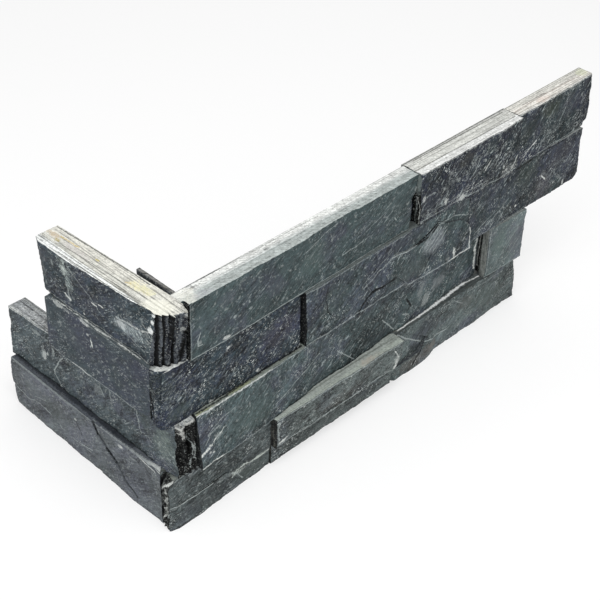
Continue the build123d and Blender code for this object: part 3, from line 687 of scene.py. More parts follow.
# Left strip of the lower course, long leg: the longest strip. It is split thick at the corner
# and thin at its far end, and stands on the bottom course over its whole length.
strip = work_slate("long_lower_left_strip", LONG, 6.5, lean=38, rough=0.5)
lay("long_lower_left_strip", strip, "slate",
    # partly painted light: the strip's own tones, set lighter for the light the paper throws up onto the
    # lower courses
    split_face("L3a", LONG, 6.5, tone(71, 83, 83), tone(72, 76, 85), 0.42, 38, 1.0, 0.6, 0.9, 0.6,
               marks=[
        ("bruise", (116, 43.6), (12, 5), tone(58, 64, 66), 0.7),
        ("bruise", (170, 43), (18, 4.5), tone(58, 64, 66), 0.7),
        ("bruise", (60, 50), (18, 10), tone(82, 96, 93), 0.5),
        ("bruise", (206, 58), (3.6, 7), tone(128, 134, 134), 1.0, 2.6, 0.4),
        ("bruise", (212.4, 47), (4.6, 5), tone(140, 146, 145), 1.0, 2.6, 0.4),
        ("bruise", (225, 54.6), (7, 5), tone(116, 122, 124), 0.9, 2.6, 0.4),
        ("line", [(20.6, 47.8), (24, 49.0), (27.8, 50.4)], 1.2, WHITE, 1.0, 1.6, 0.6),
        ("line", [(27.8, 50), (31, 53), (38, 57)], 0.5, WHITE, 0.9, 1.4, 0.6),
        ("line", [(24, 53), (28, 58), (34, 60)], 0.5, PALE, 0.8, 1.0, 0.5),
        ("bruise", (26.6, 46), (1.0, 0.7), WHITE, 0.9, 1.2),
        ("bruise", (29.4, 44.4), (1.0, 0.6), WHITE, 0.9, 1.2),
        ("line", [(26, 58), (36, 64), (46, 66)], 0.4, PALE, 0.6, 0.6, 0.5),
        ("line", [(78, 47.6), (96, 55), (115.7, 61.2)], 0.4, PALE, 0.8, 0.8, 0.4),
        ("line", [(131, 53.8), (146.4, 38.4)], 0.4, PALE, 0.8, 0.6, 0.2),
        ("line", [(128, 44), (140, 50)], 0.35, PALE, 0.7, 0.6, 0.2),
        ("line", [(170.2, 54.6), (177, 47), (183.7, 39.1)], 0.5, PALE, 0.9, 0.6, 0.2),
        ("line", [(193, 57.9), (197.6, 50.4)], 0.9, BLACK, 1.0, 0.4, 0.0),
        ("line", [(190.6, 47), (197, 44)], 0.4, PALE, 0.9, 0.5, 0.1),
        ("line", [(186, 42), (192, 39)], 0.4, PALE, 0.6, 0.5, 0.3),
        ("line", [(263.0, 44), (262.4, 58), (262.8, 70)], 1.0, WHITE, 1.0, 0.9, 0.4),
        ("line", [(20, 38.0), (36, 38.0)], 0.55, WHITE, 0.9, 0.2, 0.2),
        ("line", [(36, 38.0), (76, 38.0)], 0.4, PALE, 0.7, 0.3, 0.6),
        # painted shadow along the foot, over the ledge of the bottom course
        ("line", [(78, 38.0), (182, 38.0)], 0.8, BLACK, 0.8, 0.4, 0.3),
        ("line", [(20, 74.3), (76, 74.3)], 0.7, WHITE, 0.9, 0.7, 0.5),
        ("line", [(76, 74.3), (115, 74.3)], 0.5, PALE, 0.8, 0.5, 0.5),
        # painted shade along the top arris, cast by the proud foot of the upper course
        ("line", [(115, 74.6), (225, 74.6)], 0.5, BLACK, 0.5, 0.3, 0.6)]),
    bed_face("L3a", LONG, 6.5, tone(134, 141, 134), tone(120, 127, 122), tone(112, 118, 116), marks=[
        ("bruise", (24, -2), (8, 3), tone(154, 158, 118), 0.7, 2.0, 0.2),
        ("bruise", (54, 0), (10, 2), tone(144, 148, 104), 0.6, 2.0, 0.4),
        # painted shadow along the back of the ledge, under the chipped foot of the upper course
        ("line", [(20, 0.6), (36.6, 0.2), (52.5, 1.0), (69.6, 1.6), (90.8, 1.6), (101, 2.0)], 0.8,
         BLACK, 1.0, 1.2, 0.3),
        ("line", [(20, -4.2), (60, -3.0), (102, -1.6)], 0.7, tone(196, 200, 190), 0.8, 0.8, 0.5)]),
    broken_face("L3a", LONG, 6.5), wall_face("L3a", LONG, 6.5))


# Right strip of the lower course, long leg. Short, proud and paler; its near end stands open
# beside the sunk end of its neighbour, with a grey sawn edge and a dark gap.
strip = work_slate("long_lower_right_strip", LONG, 7.8, lean=38, layers=0.6, rough=0.3)
lay("long_lower_right_strip", strip, "slate",
    # partly painted light: the strip's own tones, set lighter for the light the paper throws up onto the
    # lower courses
    split_face("L3b", LONG, 7.8, tone(101, 113, 111), tone(102, 106, 113), 0.45, 38, 0.6, 0.5, 0.7, 0.2,
               marks=[
        ("bruise", (277, 62), (6, 12), tone(92, 108, 103), 0.7),
        ("bruise", (294, 52), (7, 12), tone(102, 104, 112), 0.6),
        ("line", [(276, 44), (286, 56), (296, 64)], 0.4, PALE, 0.5, 0.8, 0.5),
        ("line", [(288, 44), (298, 54)], 0.35, PALE, 0.5, 0.8, 0.5),
        ("line", [(266, 38.2), (302, 38.2)], 0.4, PALE, 0.7, 0.3, 0.6),
        # painted shade at the edge of the open end, in the gap
        ("line", [(266.6, 39), (266.6, 74)], 0.5, BLACK, 0.6, 0.3, 0.3),
        ("line", [(267.8, 39), (267.8, 74)], 0.4, PALE, 0.7, 0.3, 0.5)]),
    bed_face("L3b", LONG, 7.8, tone(140, 146, 144), tone(140, 146, 144), tone(130, 134, 132)),
    broken_face("L3b", LONG, 7.8, tone(100, 104, 102), tone(146, 150, 146), 0.7, 0.5, 0.3, marks=[
        # painted shade in the gap beside the neighbour's sunk end
        ("line", [(8.2, 38), (8.0, 75)], 2.0, BLACK, 1.0, 0.5, 0.0),
        ("line", [(8.4, 42), (8.6, 50), (8.3, 57), (7.8, 66)], 0.5, WHITE, 1.0, 1.0, 0.35)], plane=END),
    wall_face("L3b", LONG, 7.8))


# Lower strip of the short leg. It lies deep behind its neighbours and runs out over the corner
# to a ragged black break; its sawn top shows beyond the strip above.
strip = work_slate("short_lower_strip", SHORT, 9.1, lean=-38, layers=0.8, rough=0.4, near=1.8,
                   far=0.25, band=1.3, end_reach=2.6)
lay("short_lower_strip", strip, "slate",
    # partly painted light: the strip's own tones, set lighter for the light the paper throws up onto the
    # lower courses
    split_face("S3", SHORT, 9.1, tone(81, 90, 92), tone(81, 85, 94), 0.45, -38, 0.9, 0.5, 0.7, 0.4,
               marks=[
        ("bruise", (10, 57), (12, 12), tone(100, 112, 108), 0.7, 2.2, 0.5),
        ("bruise", (9.4, 58), (8, 9), tone(132, 144, 139), 0.8, 3.0, 0.8),
        ("bruise", (11, 50), (9, 8), PALE, 0.8, 3.0, 1.0),
        ("bruise", (8, 44), (9, 6), PALE, 0.5, 3.0, 1.0),
        ("bruise", (24, 64), (5, 9), tone(64, 74, 71), 0.6),
        ("line", [(33, 70), (31.4, 62), (28.8, 51.9)], 0.45, PALE, 0.9, 0.7, 0.3),
        ("line", [(55, 70), (54.2, 57)], 0.5, PALE, 0.7, 0.8, 0.4),
        ("line", [(64.4, 65), (60.3, 58)], 0.5, PALE, 0.7, 0.6, 0.3),
        ("bruise", (66, 60), (5, 4), PALE, 0.35, 3.0),
        ("line", [(96.4, 64), (100.3, 59.2), (106.9, 48.4)], 0.5, PALE, 0.9, 0.5, 0.1),
        ("line", [(106.9, 48.4), (105.2, 43.4), (101.4, 39)], 0.6, PALE, 0.9, 0.8, 0.4),
        ("bruise", (114.6, 55), (2.0, 3.4), WHITE, 0.9, 2.6, 0.5),
        ("bruise", (105.5, 63.2), (1.4, 4), PALE, 0.9, 2.6, 0.6),
        ("bruise", (121, 68.6), (4, 1.4), PALE, 0.8, 2.6),
        ("bruise", (116, 57), (2, 5), PALE, 0.7, 3.0),
        # painted shadow along the foot, over the ledge of the bottom strip
        ("line", [(148, 38.0), (20, 38.0)], 0.8, BLACK, 0.9, 0.4, 0.2),
        ("line", [(100, 74.2), (148, 74.2)], 0.5, WHITE, 0.8, 0.3, 0.5)]),
    bed_face("S3", SHORT, 9.1, tone(186, 190, 190), tone(152, 156, 158), tone(166, 170, 170), 5.2, 12.5,
             0.8, 2.6, 1.0, 0.4, [
                 ("line", [(99, 4.9), (148, 3.6)], 0.5, WHITE, 0.9, 0.3, 0.3),
                 ("line", [(99, 15), (148, 14.4)], 0.4, tone(60, 62, 64), 0.8, 0.3, 0.3),
                 ("bruise", (124, 8.6), (20, 3.6), tone(232, 235, 234), 0.7, 3.0, 0.9),
                 ("line", [(104, 7.6), (140, 6.4)], 0.5, tone(60, 62, 64), 0.7, 1.0, 0.6),
                 ("line", [(112, 11.6), (146, 10.8)], 0.5, tone(60, 62, 64), 0.7, 1.0, 0.6),
                 ("bruise", (3, 12), (4, 6), WHITE, 0.8, 2.4)]),
    broken_face("S3", SHORT, 9.1, tone(9, 10, 12), tone(96, 99, 97), 0.45, 0.40, 0.7, marks=[
        ("line", [(7.6, 74.4), (17, 74.6)], 1.5, tone(196, 198, 194), 1.0, 0.8, 0.2),
        ("line", [(8.2, 74), (9.8, 66.4)], 1.5, tone(196, 198, 194), 1.0, 0.8, 0.2),
        ("line", [(14.6, 68), (15, 61), (16.6, 55), (15.4, 48), (14.8, 41)], 0.5, PALE, 1.0, 2.6,
         0.4),
        ("line", [(17.4, 60), (17.6, 46)], 0.5, PALE, 0.9, 2.0, 0.5),
        ("line", [(11.4, 60), (12, 50), (11.6, 40)], 0.5, PALE, 0.6, 2.4, 0.7)], plane=END),
    wall_face("S3", SHORT, 9.1))


# Left strip of the upper course, long leg. Granular slate that runs out over the corner; its
# rough rounded end shows on the short leg.
strip = work_slate("long_upper_left_strip", LONG, 10.4, lean=30, layers=0.5, rough=1.4, near=0.7,
                   end_reach=6.5, end_kind=SPLIT)
lay("long_upper_left_strip", strip, "slate",
    split_face("L2a", LONG, 10.4, tone(50, 61, 66), tone(51, 56, 70), 0.5, 30, 1.3, 1.0, 0.9, 0.9,
               marks=[
        ("bruise", (11, 83), (9, 6), tone(76, 88, 84), 0.6),
        ("bruise", (5, 100), (7, 12), tone(56, 66, 62), 0.5),
        ("bruise", (84, 95), (18, 12), tone(70, 68, 78), 0.5),
        ("bruise", (45.8, 106), (1.3, 1.0), WHITE, 0.9, 1.0),
        ("bruise", (67, 77.8), (1.5, 1.0), WHITE, 0.9, 1.0),
        ("bruise", (32.8, 76), (1.8, 0.9), WHITE, 0.9, 1.0),
        ("bruise", (21, 95.3), (2.2, 1.4), BLACK, 0.8),
        ("bruise", (73.2, 95.6), (1.8, 1.2), BLACK, 0.8),
        ("bruise", (86, 95.7), (2.0, 1.3), BLACK, 0.8),
        ("line", [(10, 96), (24, 93.6), (30, 97)], 0.5, BLACK, 0.5, 0.8, 0.4),
        # painted shade along the top arris, in the joint under the top course
        ("line", [(10, 111.6), (102, 111.8)], 0.5, BLACK, 0.7, 0.3, 0.5),
        ("bruise", (10, 95), (13, 11), PALE, 0.45, 3.0, 1.0),
        ("end line", [(11.6, 99), (9.0, 78)], 0.7, tone(6, 7, 8), 1.0, 0.3, 0.0),
        # painted shadow along the chipped foot, over the ledge of the lower course
        ("line", [(20, 75.4), (102, 75.5)], 0.7, BLACK, 0.9, 0.8, 0.5)]),
    bed_face("L2a", LONG, 10.4, tone(232, 234, 230), tone(214, 217, 214), tone(150, 154, 152), 1.5, 9,
             dirt=0.1),
    broken_face("L2a", LONG, 10.4), wall_face("L2a", LONG, 10.4))


# Middle strip of the upper course, long leg. Its face leans out towards the foot at the right
# end; one flake is split away along its top and another at its foot.
strip = work_slate("long_upper_middle_strip", LONG, 11.7, lean=40, rough=0.6)
lay("long_upper_middle_strip", strip, "slate",
    split_face("L2b", LONG, 11.7, tone(65, 76, 76), tone(64, 69, 79), 0.48, 40, 1.0, 0.6, 1.0, 0.6,
               marks=[
        ("bruise", (125, 95), (12, 12), tone(76, 90, 87), 0.5),
        ("bruise", (185, 107), (20, 4), tone(58, 64, 68), 0.6),
        ("bruise", (236, 107), (8, 6), tone(62, 64, 72), 0.6),
        ("bruise", (190, 84), (16, 8), tone(78, 84, 84), 0.5),
        ("bruise", (209, 95), (11, 8), tone(136, 142, 146), 0.8, 1.6, 0.6),
        ("line", [(119.6, 111), (118.3, 100.7), (120.1, 90), (122, 87)], 0.5, BLACK, 0.9, 0.5, 0.1),
        ("line", [(148.6, 91.4), (160, 97), (174, 101)], 0.5, PALE, 0.7, 0.7, 0.4),
        ("line", [(152, 96), (172, 106)], 0.4, PALE, 0.5, 0.7, 0.5),
        # painted highlight: the rim of the flake's ledge, where it catches the light
        ("line", [(171.9, 101.4), (184, 99.8), (193.6, 99.6)], 0.5, PALE, 0.8, 0.5, 0.3),
        # painted shadow under the rim of the flake
        ("line", [(195, 99.6), (205, 100.8), (213.9, 105)], 0.9, BLACK, 1.0, 0.3, 0.0),
        ("line", [(214, 104.6), (228, 104), (244, 98)], 0.45, PALE, 0.7, 0.5, 0.4),
        ("line", [(196, 93.6), (210, 104.6)], 0.35, PALE, 0.8, 0.9, 0.5),
        ("line", [(199, 92.6), (213, 103.6)], 0.35, PALE, 0.8, 0.9, 0.5),
        ("line", [(202, 91.6), (216, 102.2)], 0.35, PALE, 0.8, 0.9, 0.5),
        ("line", [(205, 90.6), (219, 100.6)], 0.35, PALE, 0.8, 0.9, 0.5),
        ("line", [(208, 89.6), (221, 98.6)], 0.35, PALE, 0.8, 0.9, 0.5),
        ("bruise", (226.9, 80), (1.4, 3.6), WHITE, 0.9, 2.0),
        ("bruise", (236, 86), (3, 6), PALE, 0.6, 3.0, 1.0),
        # painted shadow under the overhanging edge above the chipped foot
        ("line", [(145.4, 74), (148, 79.6), (152, 82.6), (157, 84.4), (166, 84.6), (176, 85.6)], 1.3,
         BLACK, 1.0, 0.4, 0.0),
        # painted shade in the hollow under that edge
        ("bruise", (153.7, 77.4), (6, 1.8), tone(36, 39, 42), 0.8),
        ("line", [(241.6, 76), (241.9, 84), (242.4, 92)], 0.5, WHITE, 0.9, 0.4, 0.3),
        ("line", [(222, 75.9), (242, 75.9)], 0.5, WHITE, 0.9, 0.3, 0.2),
        ("line", [(102, 75.8), (222, 75.8)], 0.5, PALE, 0.8, 0.4, 0.5),
        ("line", [(102, 111.7), (190, 111.7)], 0.5, PALE, 0.5, 0.3, 0.6)]),
    bed_face("L2b", LONG, 11.7, tone(104, 111, 110), tone(100, 106, 105), tone(98, 102, 100)),
    broken_face("L2b", LONG, 11.7, tone(22, 24, 27), tone(84, 90, 91), 0.6, 0.4, 0.5, marks=[
        # painted shadow under the overhanging edge above the chipped foot
        ("line", [(145.4, 74), (148, 79.6), (152, 82.6), (157, 84.4), (167, 85)], 1.5, BLACK, 1.0,
         0.4, 0.0),
        # painted light: pale on the step at the right of the chipped foot, which faces away from the
        # lamp and would render dark
        ("bruise", (185, 80.6), (11, 8), tone(136, 144, 147), 1.0, 0.6, 0.0),
        ("bruise", (178, 100), (14, 5), PALE, 0.6),
        ("bruise", (232, 100), (14, 8), tone(70, 75, 80), 0.8)]),
    wall_face("L2b", LONG, 11.7))


# Right strip of the upper course, long leg. Dark rough slate, with a rounded lower corner at
# its far end.
strip = work_slate("long_upper_right_strip", LONG, 13.0, lean=45, layers=0.8, rough=0.8)
lay("long_upper_right_strip", strip, "slate",
    split_face("L2c", LONG, 13.0, tone(52, 61, 62), tone(53, 57, 67), 0.52, 45, 1.1, 0.6, 0.8, 0.7,
               marks=[
        ("bruise", (318, 84), (12, 9), tone(92, 88, 92), 0.5),
        ("bruise", (300, 100), (16, 9), tone(58, 68, 62), 0.5),
        ("bruise", (336, 100), (14, 9), tone(66, 66, 74), 0.5),
        ("line", [(316.6, 93.4), (321.4, 88.6)], 0.6, WHITE, 0.9, 0.2, 0.0),
        ("bruise", (292.7, 81.2), (1.3, 1.0), WHITE, 0.9, 1.0),
        ("bruise", (342, 77.4), (1.2, 2.2), WHITE, 0.9, 1.4),
        ("bruise", (277, 79), (18, 4), PALE, 0.7, 3.0, 1.0),
        ("bruise", (330, 90), (16, 10), PALE, 0.5, 3.0, 1.0),
        ("line", [(252, 80), (272, 88)], 0.4, PALE, 0.6, 0.7, 0.5),
        ("line", [(262, 80), (284, 91)], 0.4, PALE, 0.6, 0.7, 0.5),
        ("line", [(243, 75.6), (300, 75.6)], 0.4, PALE, 0.6, 0.3, 0.6),
        # painted shade along the top arris, in the joint under the top course
        ("line", [(280, 110.6), (304, 110.8)], 0.9, BLACK, 1.0, 0.2, 0.1),
        ("line", [(304, 111.4), (338, 111.8)], 0.5, BLACK, 0.8, 0.3, 0.4)]),
    bed_face("L2c", LONG, 13.0, tone(140, 144, 144), tone(140, 146, 144), tone(130, 134, 132)),
    broken_face("L2c", LONG, 13.0), wall_face("L2c", LONG, 13.0))


# Upper strip of the short leg. Smooth blue-grey slate that butts against the long strip with an
# open slit, its top arris chipped pale.
strip = work_slate("short_upper_strip", SHORT, 14.3, lean=-30, layers=0.4, rough=0.2)
lay("short_upper_strip", strip, "slate",
    split_face("S2", SHORT, 14.3, tone(66, 76, 80), tone(67, 72, 84), 0.5, -30, 0.5, 0.35, 0.4, 0.3,
               marks=[
        ("bruise", (76, 96), (14, 10), tone(80, 86, 92), 0.4),
        ("line", [(59.6, 103), (59.1, 99.5), (60.4, 97.4)], 0.5, PALE, 0.9, 0.5, 0.1),
        ("bruise", (62.4, 104.4), (1.3, 0.9), WHITE, 0.8, 1.6),
        ("line", [(49, 88), (49, 86)], 0.5, PALE, 0.9, 0.2, 0.0),
        ("bruise", (54.8, 83.2), (1.2, 1.0), PALE, 0.9, 1.4),
        ("bruise", (45, 91), (1.0, 0.8), PALE, 0.8, 1.4),
        ("bruise", (86, 111), (9, 1.4), WHITE, 0.8, 2.6),
        ("bruise", (64, 111.4), (5, 1.2), WHITE, 0.8, 2.6),
        ("line", [(32, 111.9), (98, 111.9)], 0.4, PALE, 0.4, 0.3, 0.6),
        ("line", [(60, 101.8), (58.8, 101.4), (58.6, 98.4)], 0.5, WHITE, 1.0, 0.4, 0.0),
        ("line", [(78, 75.8), (62, 75.6)], 0.6, WHITE, 0.9, 0.5, 0.5),
        ("line", [(20, 75.7), (98, 75.7)], 0.4, PALE, 0.8, 0.3, 0.5)]),
    bed_face("S2", SHORT, 14.3, tone(84, 92, 96), tone(88, 95, 98), tone(98, 102, 102), marks=[
        ("line", [(92, 0.2), (82, 0.4), (63.5, 1.0), (50, 1.2), (36, 1.8), (20, 1.8)], 0.5, WHITE, 1.0,
         1.6, 0.8),
        ("bruise", (52, 1.0), (7, 1.0), WHITE, 0.9, 3.0, 0.8),
        ("bruise", (34, 1.6), (5, 1.0), WHITE, 0.9, 3.0, 0.8)]),
    broken_face("S2", SHORT, 14.3, tone(18, 20, 22)), wall_face("S2", SHORT, 14.3))


# Left strip of the top course, long leg. Smooth green-grey slate; its sawn top is dusty and
# nearly white towards the wall.
strip = work_slate("long_top_left_strip", LONG, 15.6, lean=35, layers=0.5, rough=0.4, far=0.5)
lay("long_top_left_strip", strip, "slate",
    split_face("L1a", LONG, 15.6, tone(68, 81, 81), tone(69, 73, 82), 0.38, 35, 0.75, 0.18, 0.7, 0.3,
               marks=[
        ("bruise", (44.7, 140.4), (8, 6), tone(76, 80, 90), 0.6),
        ("bruise", (79.6, 130), (8, 8), tone(76, 80, 90), 0.6),
        ("bruise", (110, 132), (12, 10), tone(78, 93, 89), 0.5),
        ("line", [(26, 128), (24, 124), (24.4, 120), (27, 119.6)], 0.5, PALE, 0.9, 0.7, 0.2),
        ("bruise", (60.8, 125.2), (1.4, 0.9), PALE, 0.8, 1.6),
        ("bruise", (60, 130), (0.9, 1.6), PALE, 0.7, 1.4),
        ("bruise", (49.8, 125.2), (1.4, 0.9), PALE, 0.8, 1.6),
        ("bruise", (44.4, 114.8), (3, 1.1), WHITE, 1.0, 1.6),
        ("line", [(100, 140), (105, 141), (115, 145), (125.9, 147.2)], 0.4, PALE, 0.7, 0.8, 0.4),
        ("line", [(120, 139), (134, 144)], 0.4, BLACK, 0.5, 0.8, 0.4),
        ("line", [(131, 123), (150.8, 125.3)], 0.35, PALE, 0.7, 0.6, 0.3),
        ("line", [(150, 130), (168, 138)], 0.35, PALE, 0.5, 0.6, 0.4),
        ("line", [(174, 128), (176, 125.5)], 0.5, PALE, 0.9, 0.4, 0.0),
        ("line", [(19.8, 114), (19.8, 149)], 0.4, PALE, 0.5, 0.4, 0.6),
        ("line", [(20, 113.2), (165, 113.2)], 0.4, PALE, 0.9, 0.3, 0.4),
        ("line", [(165, 113.2), (190, 113.2)], 0.4, PALE, 0.7, 0.3, 0.6)]),
    bed_face("L1a", LONG, 15.6, tone(176, 183, 181), tone(206, 210, 208), tone(226, 228, 225),
             6.2, 8.0, 0.3, 1.8, 0.6, 0.1, [
                 ("line", [(19.6, 12.7), (36, 12.3), (50, 11.9)], 0.5, tone(50, 52, 52), 0.9, 0.3, 0.1),
                 ("line", [(50, 11.9), (120, 10.6)], 0.35, tone(110, 112, 110), 0.7, 0.5, 0.6),
                 ("bruise", (78.6, 7.9), (1.6, 0.7), tone(70, 74, 74), 0.9, 1.6),
                 ("bruise", (105, 5.7), (1.4, 0.6), tone(90, 94, 94), 0.9, 1.6),
                 ("bruise", (30, 9.6), (2.2, 0.7), tone(90, 92, 90), 0.8, 2.0),
                 ("bruise", (22, 6), (7, 8), tone(226, 226, 214), 0.7),
                 ("bruise", (30, 2.5), (8, 3), tone(176, 178, 184), 0.5)]),
    broken_face("L1a", LONG, 15.6, tone(18, 20, 22), tone(110, 114, 112), 0.6, 0.42, 1.0),
    wall_face("L1a", LONG, 15.6))


# Middle strip of the top course, long leg. Thicker and rougher than its neighbours and streaked
# on the slant; its top shows cream layers between a white front and a grey back edge.
LAYER = tone(96, 98, 92)
strip = work_slate("long_top_middle_strip", LONG, 16.9, lean=52, layers=1.0, rough=1.2, near=0.9)
lay("long_top_middle_strip", strip, "slate",
    split_face("L1b", LONG, 16.9, tone(36, 44, 46), tone(39, 43, 55), 0.52, 52, 1.1, 0.8, 0.9, 0.9,
               marks=[
        ("bruise", (232, 143), (8, 6), tone(64, 64, 56), 0.6),
        ("bruise", (256, 142), (8, 6), tone(60, 72, 66), 0.5),
        ("bruise", (204, 126), (10, 10), tone(72, 76, 86), 0.5),
        ("bruise", (196.9, 131), (1.6, 2.4), WHITE, 0.9, 1.8),
        ("line", [(199.8, 131), (206.6, 131.2)], 0.6, PALE, 0.8, 0.8, 0.5),
        ("bruise", (218, 119), (1.2, 2.4), WHITE, 0.9, 1.4),
        ("bruise", (250, 134), (14, 10), tone(178, 186, 184), 0.9, 3.0, 1.0),
        ("bruise", (268, 130), (10, 10), tone(178, 186, 184), 0.9, 3.0, 1.0),
        ("bruise", (226, 130), (14, 10), PALE, 0.7, 3.4, 1.0),
        ("bruise", (210, 120), (12, 5), PALE, 0.8, 3.4, 1.0),
        ("bruise", (238, 117), (20, 4), WHITE, 0.8, 3.4, 1.0),
        ("line", [(262, 126), (268, 138)], 0.5, PALE, 0.8, 0.8, 0.4),
        ("line", [(240, 128), (246, 138)], 0.5, PALE, 0.7, 0.8, 0.4),
        ("line", [(252, 127), (256, 132)], 0.6, WHITE, 0.8, 0.8, 0.3),
        ("bruise", (233, 115.4), (5, 1.8), WHITE, 1.0, 2.2, 0.4),
        ("bruise", (276, 117), (7, 5.0), WHITE, 0.9, 3.0, 0.9),
        ("line", [(280, 116), (284, 124)], 0.7, WHITE, 0.8, 0.8, 0.5),
        ("line", [(193, 149.4), (284, 149.4)], 0.4, WHITE, 0.6, 0.3, 0.6),
        ("line", [(197, 114.6), (284, 114.6)], 0.4, PALE, 0.8, 0.4, 0.5),
        ("line", [(200, 117.6), (256, 118)], 0.35, PALE, 0.6, 0.6, 0.5)]),
    bed_face("L1b", LONG, 16.9, tone(230, 231, 229), tone(216, 217, 212), tone(194, 195, 191),
             3.4, 11.5, 0.35, 1.0, 0.35, 0.15, [
                 ("line", [(192, 4.0), (282, 3.0)], 0.4, LAYER, 0.9, 0.2, 0.1),
                 ("line", [(192, 9.0), (240, 8.4), (284, 8.6)], 0.3, LAYER, 0.7, 0.3, 0.3),
                 ("line", [(200, 12.0), (280, 11.3)], 0.4, LAYER, 0.9, 0.3, 0.1),
                 ("line", [(192, 13.2), (284, 13.5)], 0.4, tone(70, 72, 70), 0.9, 0.2, 0.1),
                 ("line", [(191.9, -1), (191.9, 14)], 0.5, tone(70, 72, 70), 0.8, 0.2, 0.2)]),
    broken_face("L1b", LONG, 16.9, tone(10, 12, 13), tone(110, 118, 114), 0.6, 0.42, 1.0, marks=[
        ("line", [(1.0, 113), (0.8, 122), (1.4, 132)], 0.5, WHITE, 0.9, 1.6, 0.4),
        ("line", [(4.4, 114), (3.4, 124), (2.6, 133)], 0.5, PALE, 0.9, 2.0, 0.5),
        ("bruise", (3, 144), (9, 10), tone(124, 134, 133), 1.0, 1.4, 0.2)], plane=END),
    wall_face("L1b", LONG, 16.9))


# Right strip of the top course, long leg. Dark violet-blue slate with a broken lower corner at
# its far end.
strip = work_slate("long_top_right_strip", LONG, 18.2, lean=50, rough=0.9)
lay("long_top_right_strip", strip, "slate",
    split_face("L1c", LONG, 18.2, tone(42, 51, 53), tone(45, 49, 61), 0.5, 50, 1.1, 0.7, 1.1, 0.8,
               marks=[
        ("bruise", (318, 142), (10, 7), tone(66, 72, 60), 0.6),
        ("bruise", (296, 134), (9, 10), tone(58, 64, 60), 0.5),
        ("bruise", (340, 136), (12, 9), tone(76, 78, 88), 0.4),
        ("line", [(296, 119), (305.2, 124.6)], 0.6, WHITE, 1.0, 0.5, 0.2),
        ("line", [(294, 117), (297, 118.4)], 0.6, WHITE, 0.7, 0.4, 0.2),
        ("bruise", (301, 130.8), (1.4, 1.2), PALE, 0.9, 1.4),
        ("bruise", (318, 122), (10, 8), PALE, 0.8, 3.0, 1.0),
        ("line", [(310, 120), (318, 127)], 0.5, PALE, 0.7, 0.8, 0.4),
        ("bruise", (344, 121), (8, 7), PALE, 0.8, 3.0, 1.0),
        ("line", [(328, 126), (336, 140)], 0.4, PALE, 0.5, 0.8, 0.5),
        ("line", [(338, 128), (346, 141)], 0.4, PALE, 0.4, 0.8, 0.5),
        ("line", [(304, 113.3), (361, 113.3)], 0.4, PALE, 0.8, 0.3, 0.5),
        ("line", [(285, 149.4), (361, 149.2)], 0.4, WHITE, 0.6, 0.3, 0.6)]),
    bed_face("L1c", LONG, 18.2, tone(234, 233, 228), tone(234, 231, 224), tone(224, 223, 216), 3, 8.5,
             0.5, 1.0, 0.4, 0.12, [
                 ("line", [(285, 6.2), (316, 7.0), (331, 6.8), (361, 6)], 0.4, tone(138, 126, 116), 0.9,
                  0.6, 0.4),
                 ("bruise", (312, 4), (7, 2.4), tone(214, 198, 188), 0.7, 2.0, 0.4),
                 ("line", [(296, 8.2), (318, 8.4)], 0.4, tone(110, 104, 98), 0.8, 0.5, 0.4),
                 ("line", [(285, 3.4), (361, 3.0)], 0.35, tone(130, 126, 116), 0.8, 0.3, 0.3),
                 ("line", [(285, 10), (361, 9.6)], 0.35, tone(130, 128, 118), 0.6, 0.3, 0.4),
                 ("bruise", (357, 8), (5, 4), tone(206, 212, 176), 0.6),
                 ("line", [(284.8, -1), (284.8, 7)], 0.5, BLACK, 0.9, 0.2, 0.2),
                 ("line", [(285, 12.9), (361, 12.9)], 0.35, tone(110, 112, 104), 0.8, 0.2, 0.3)]),
    broken_face("L1c", LONG, 18.2), wall_face("L1c", LONG, 18.2))


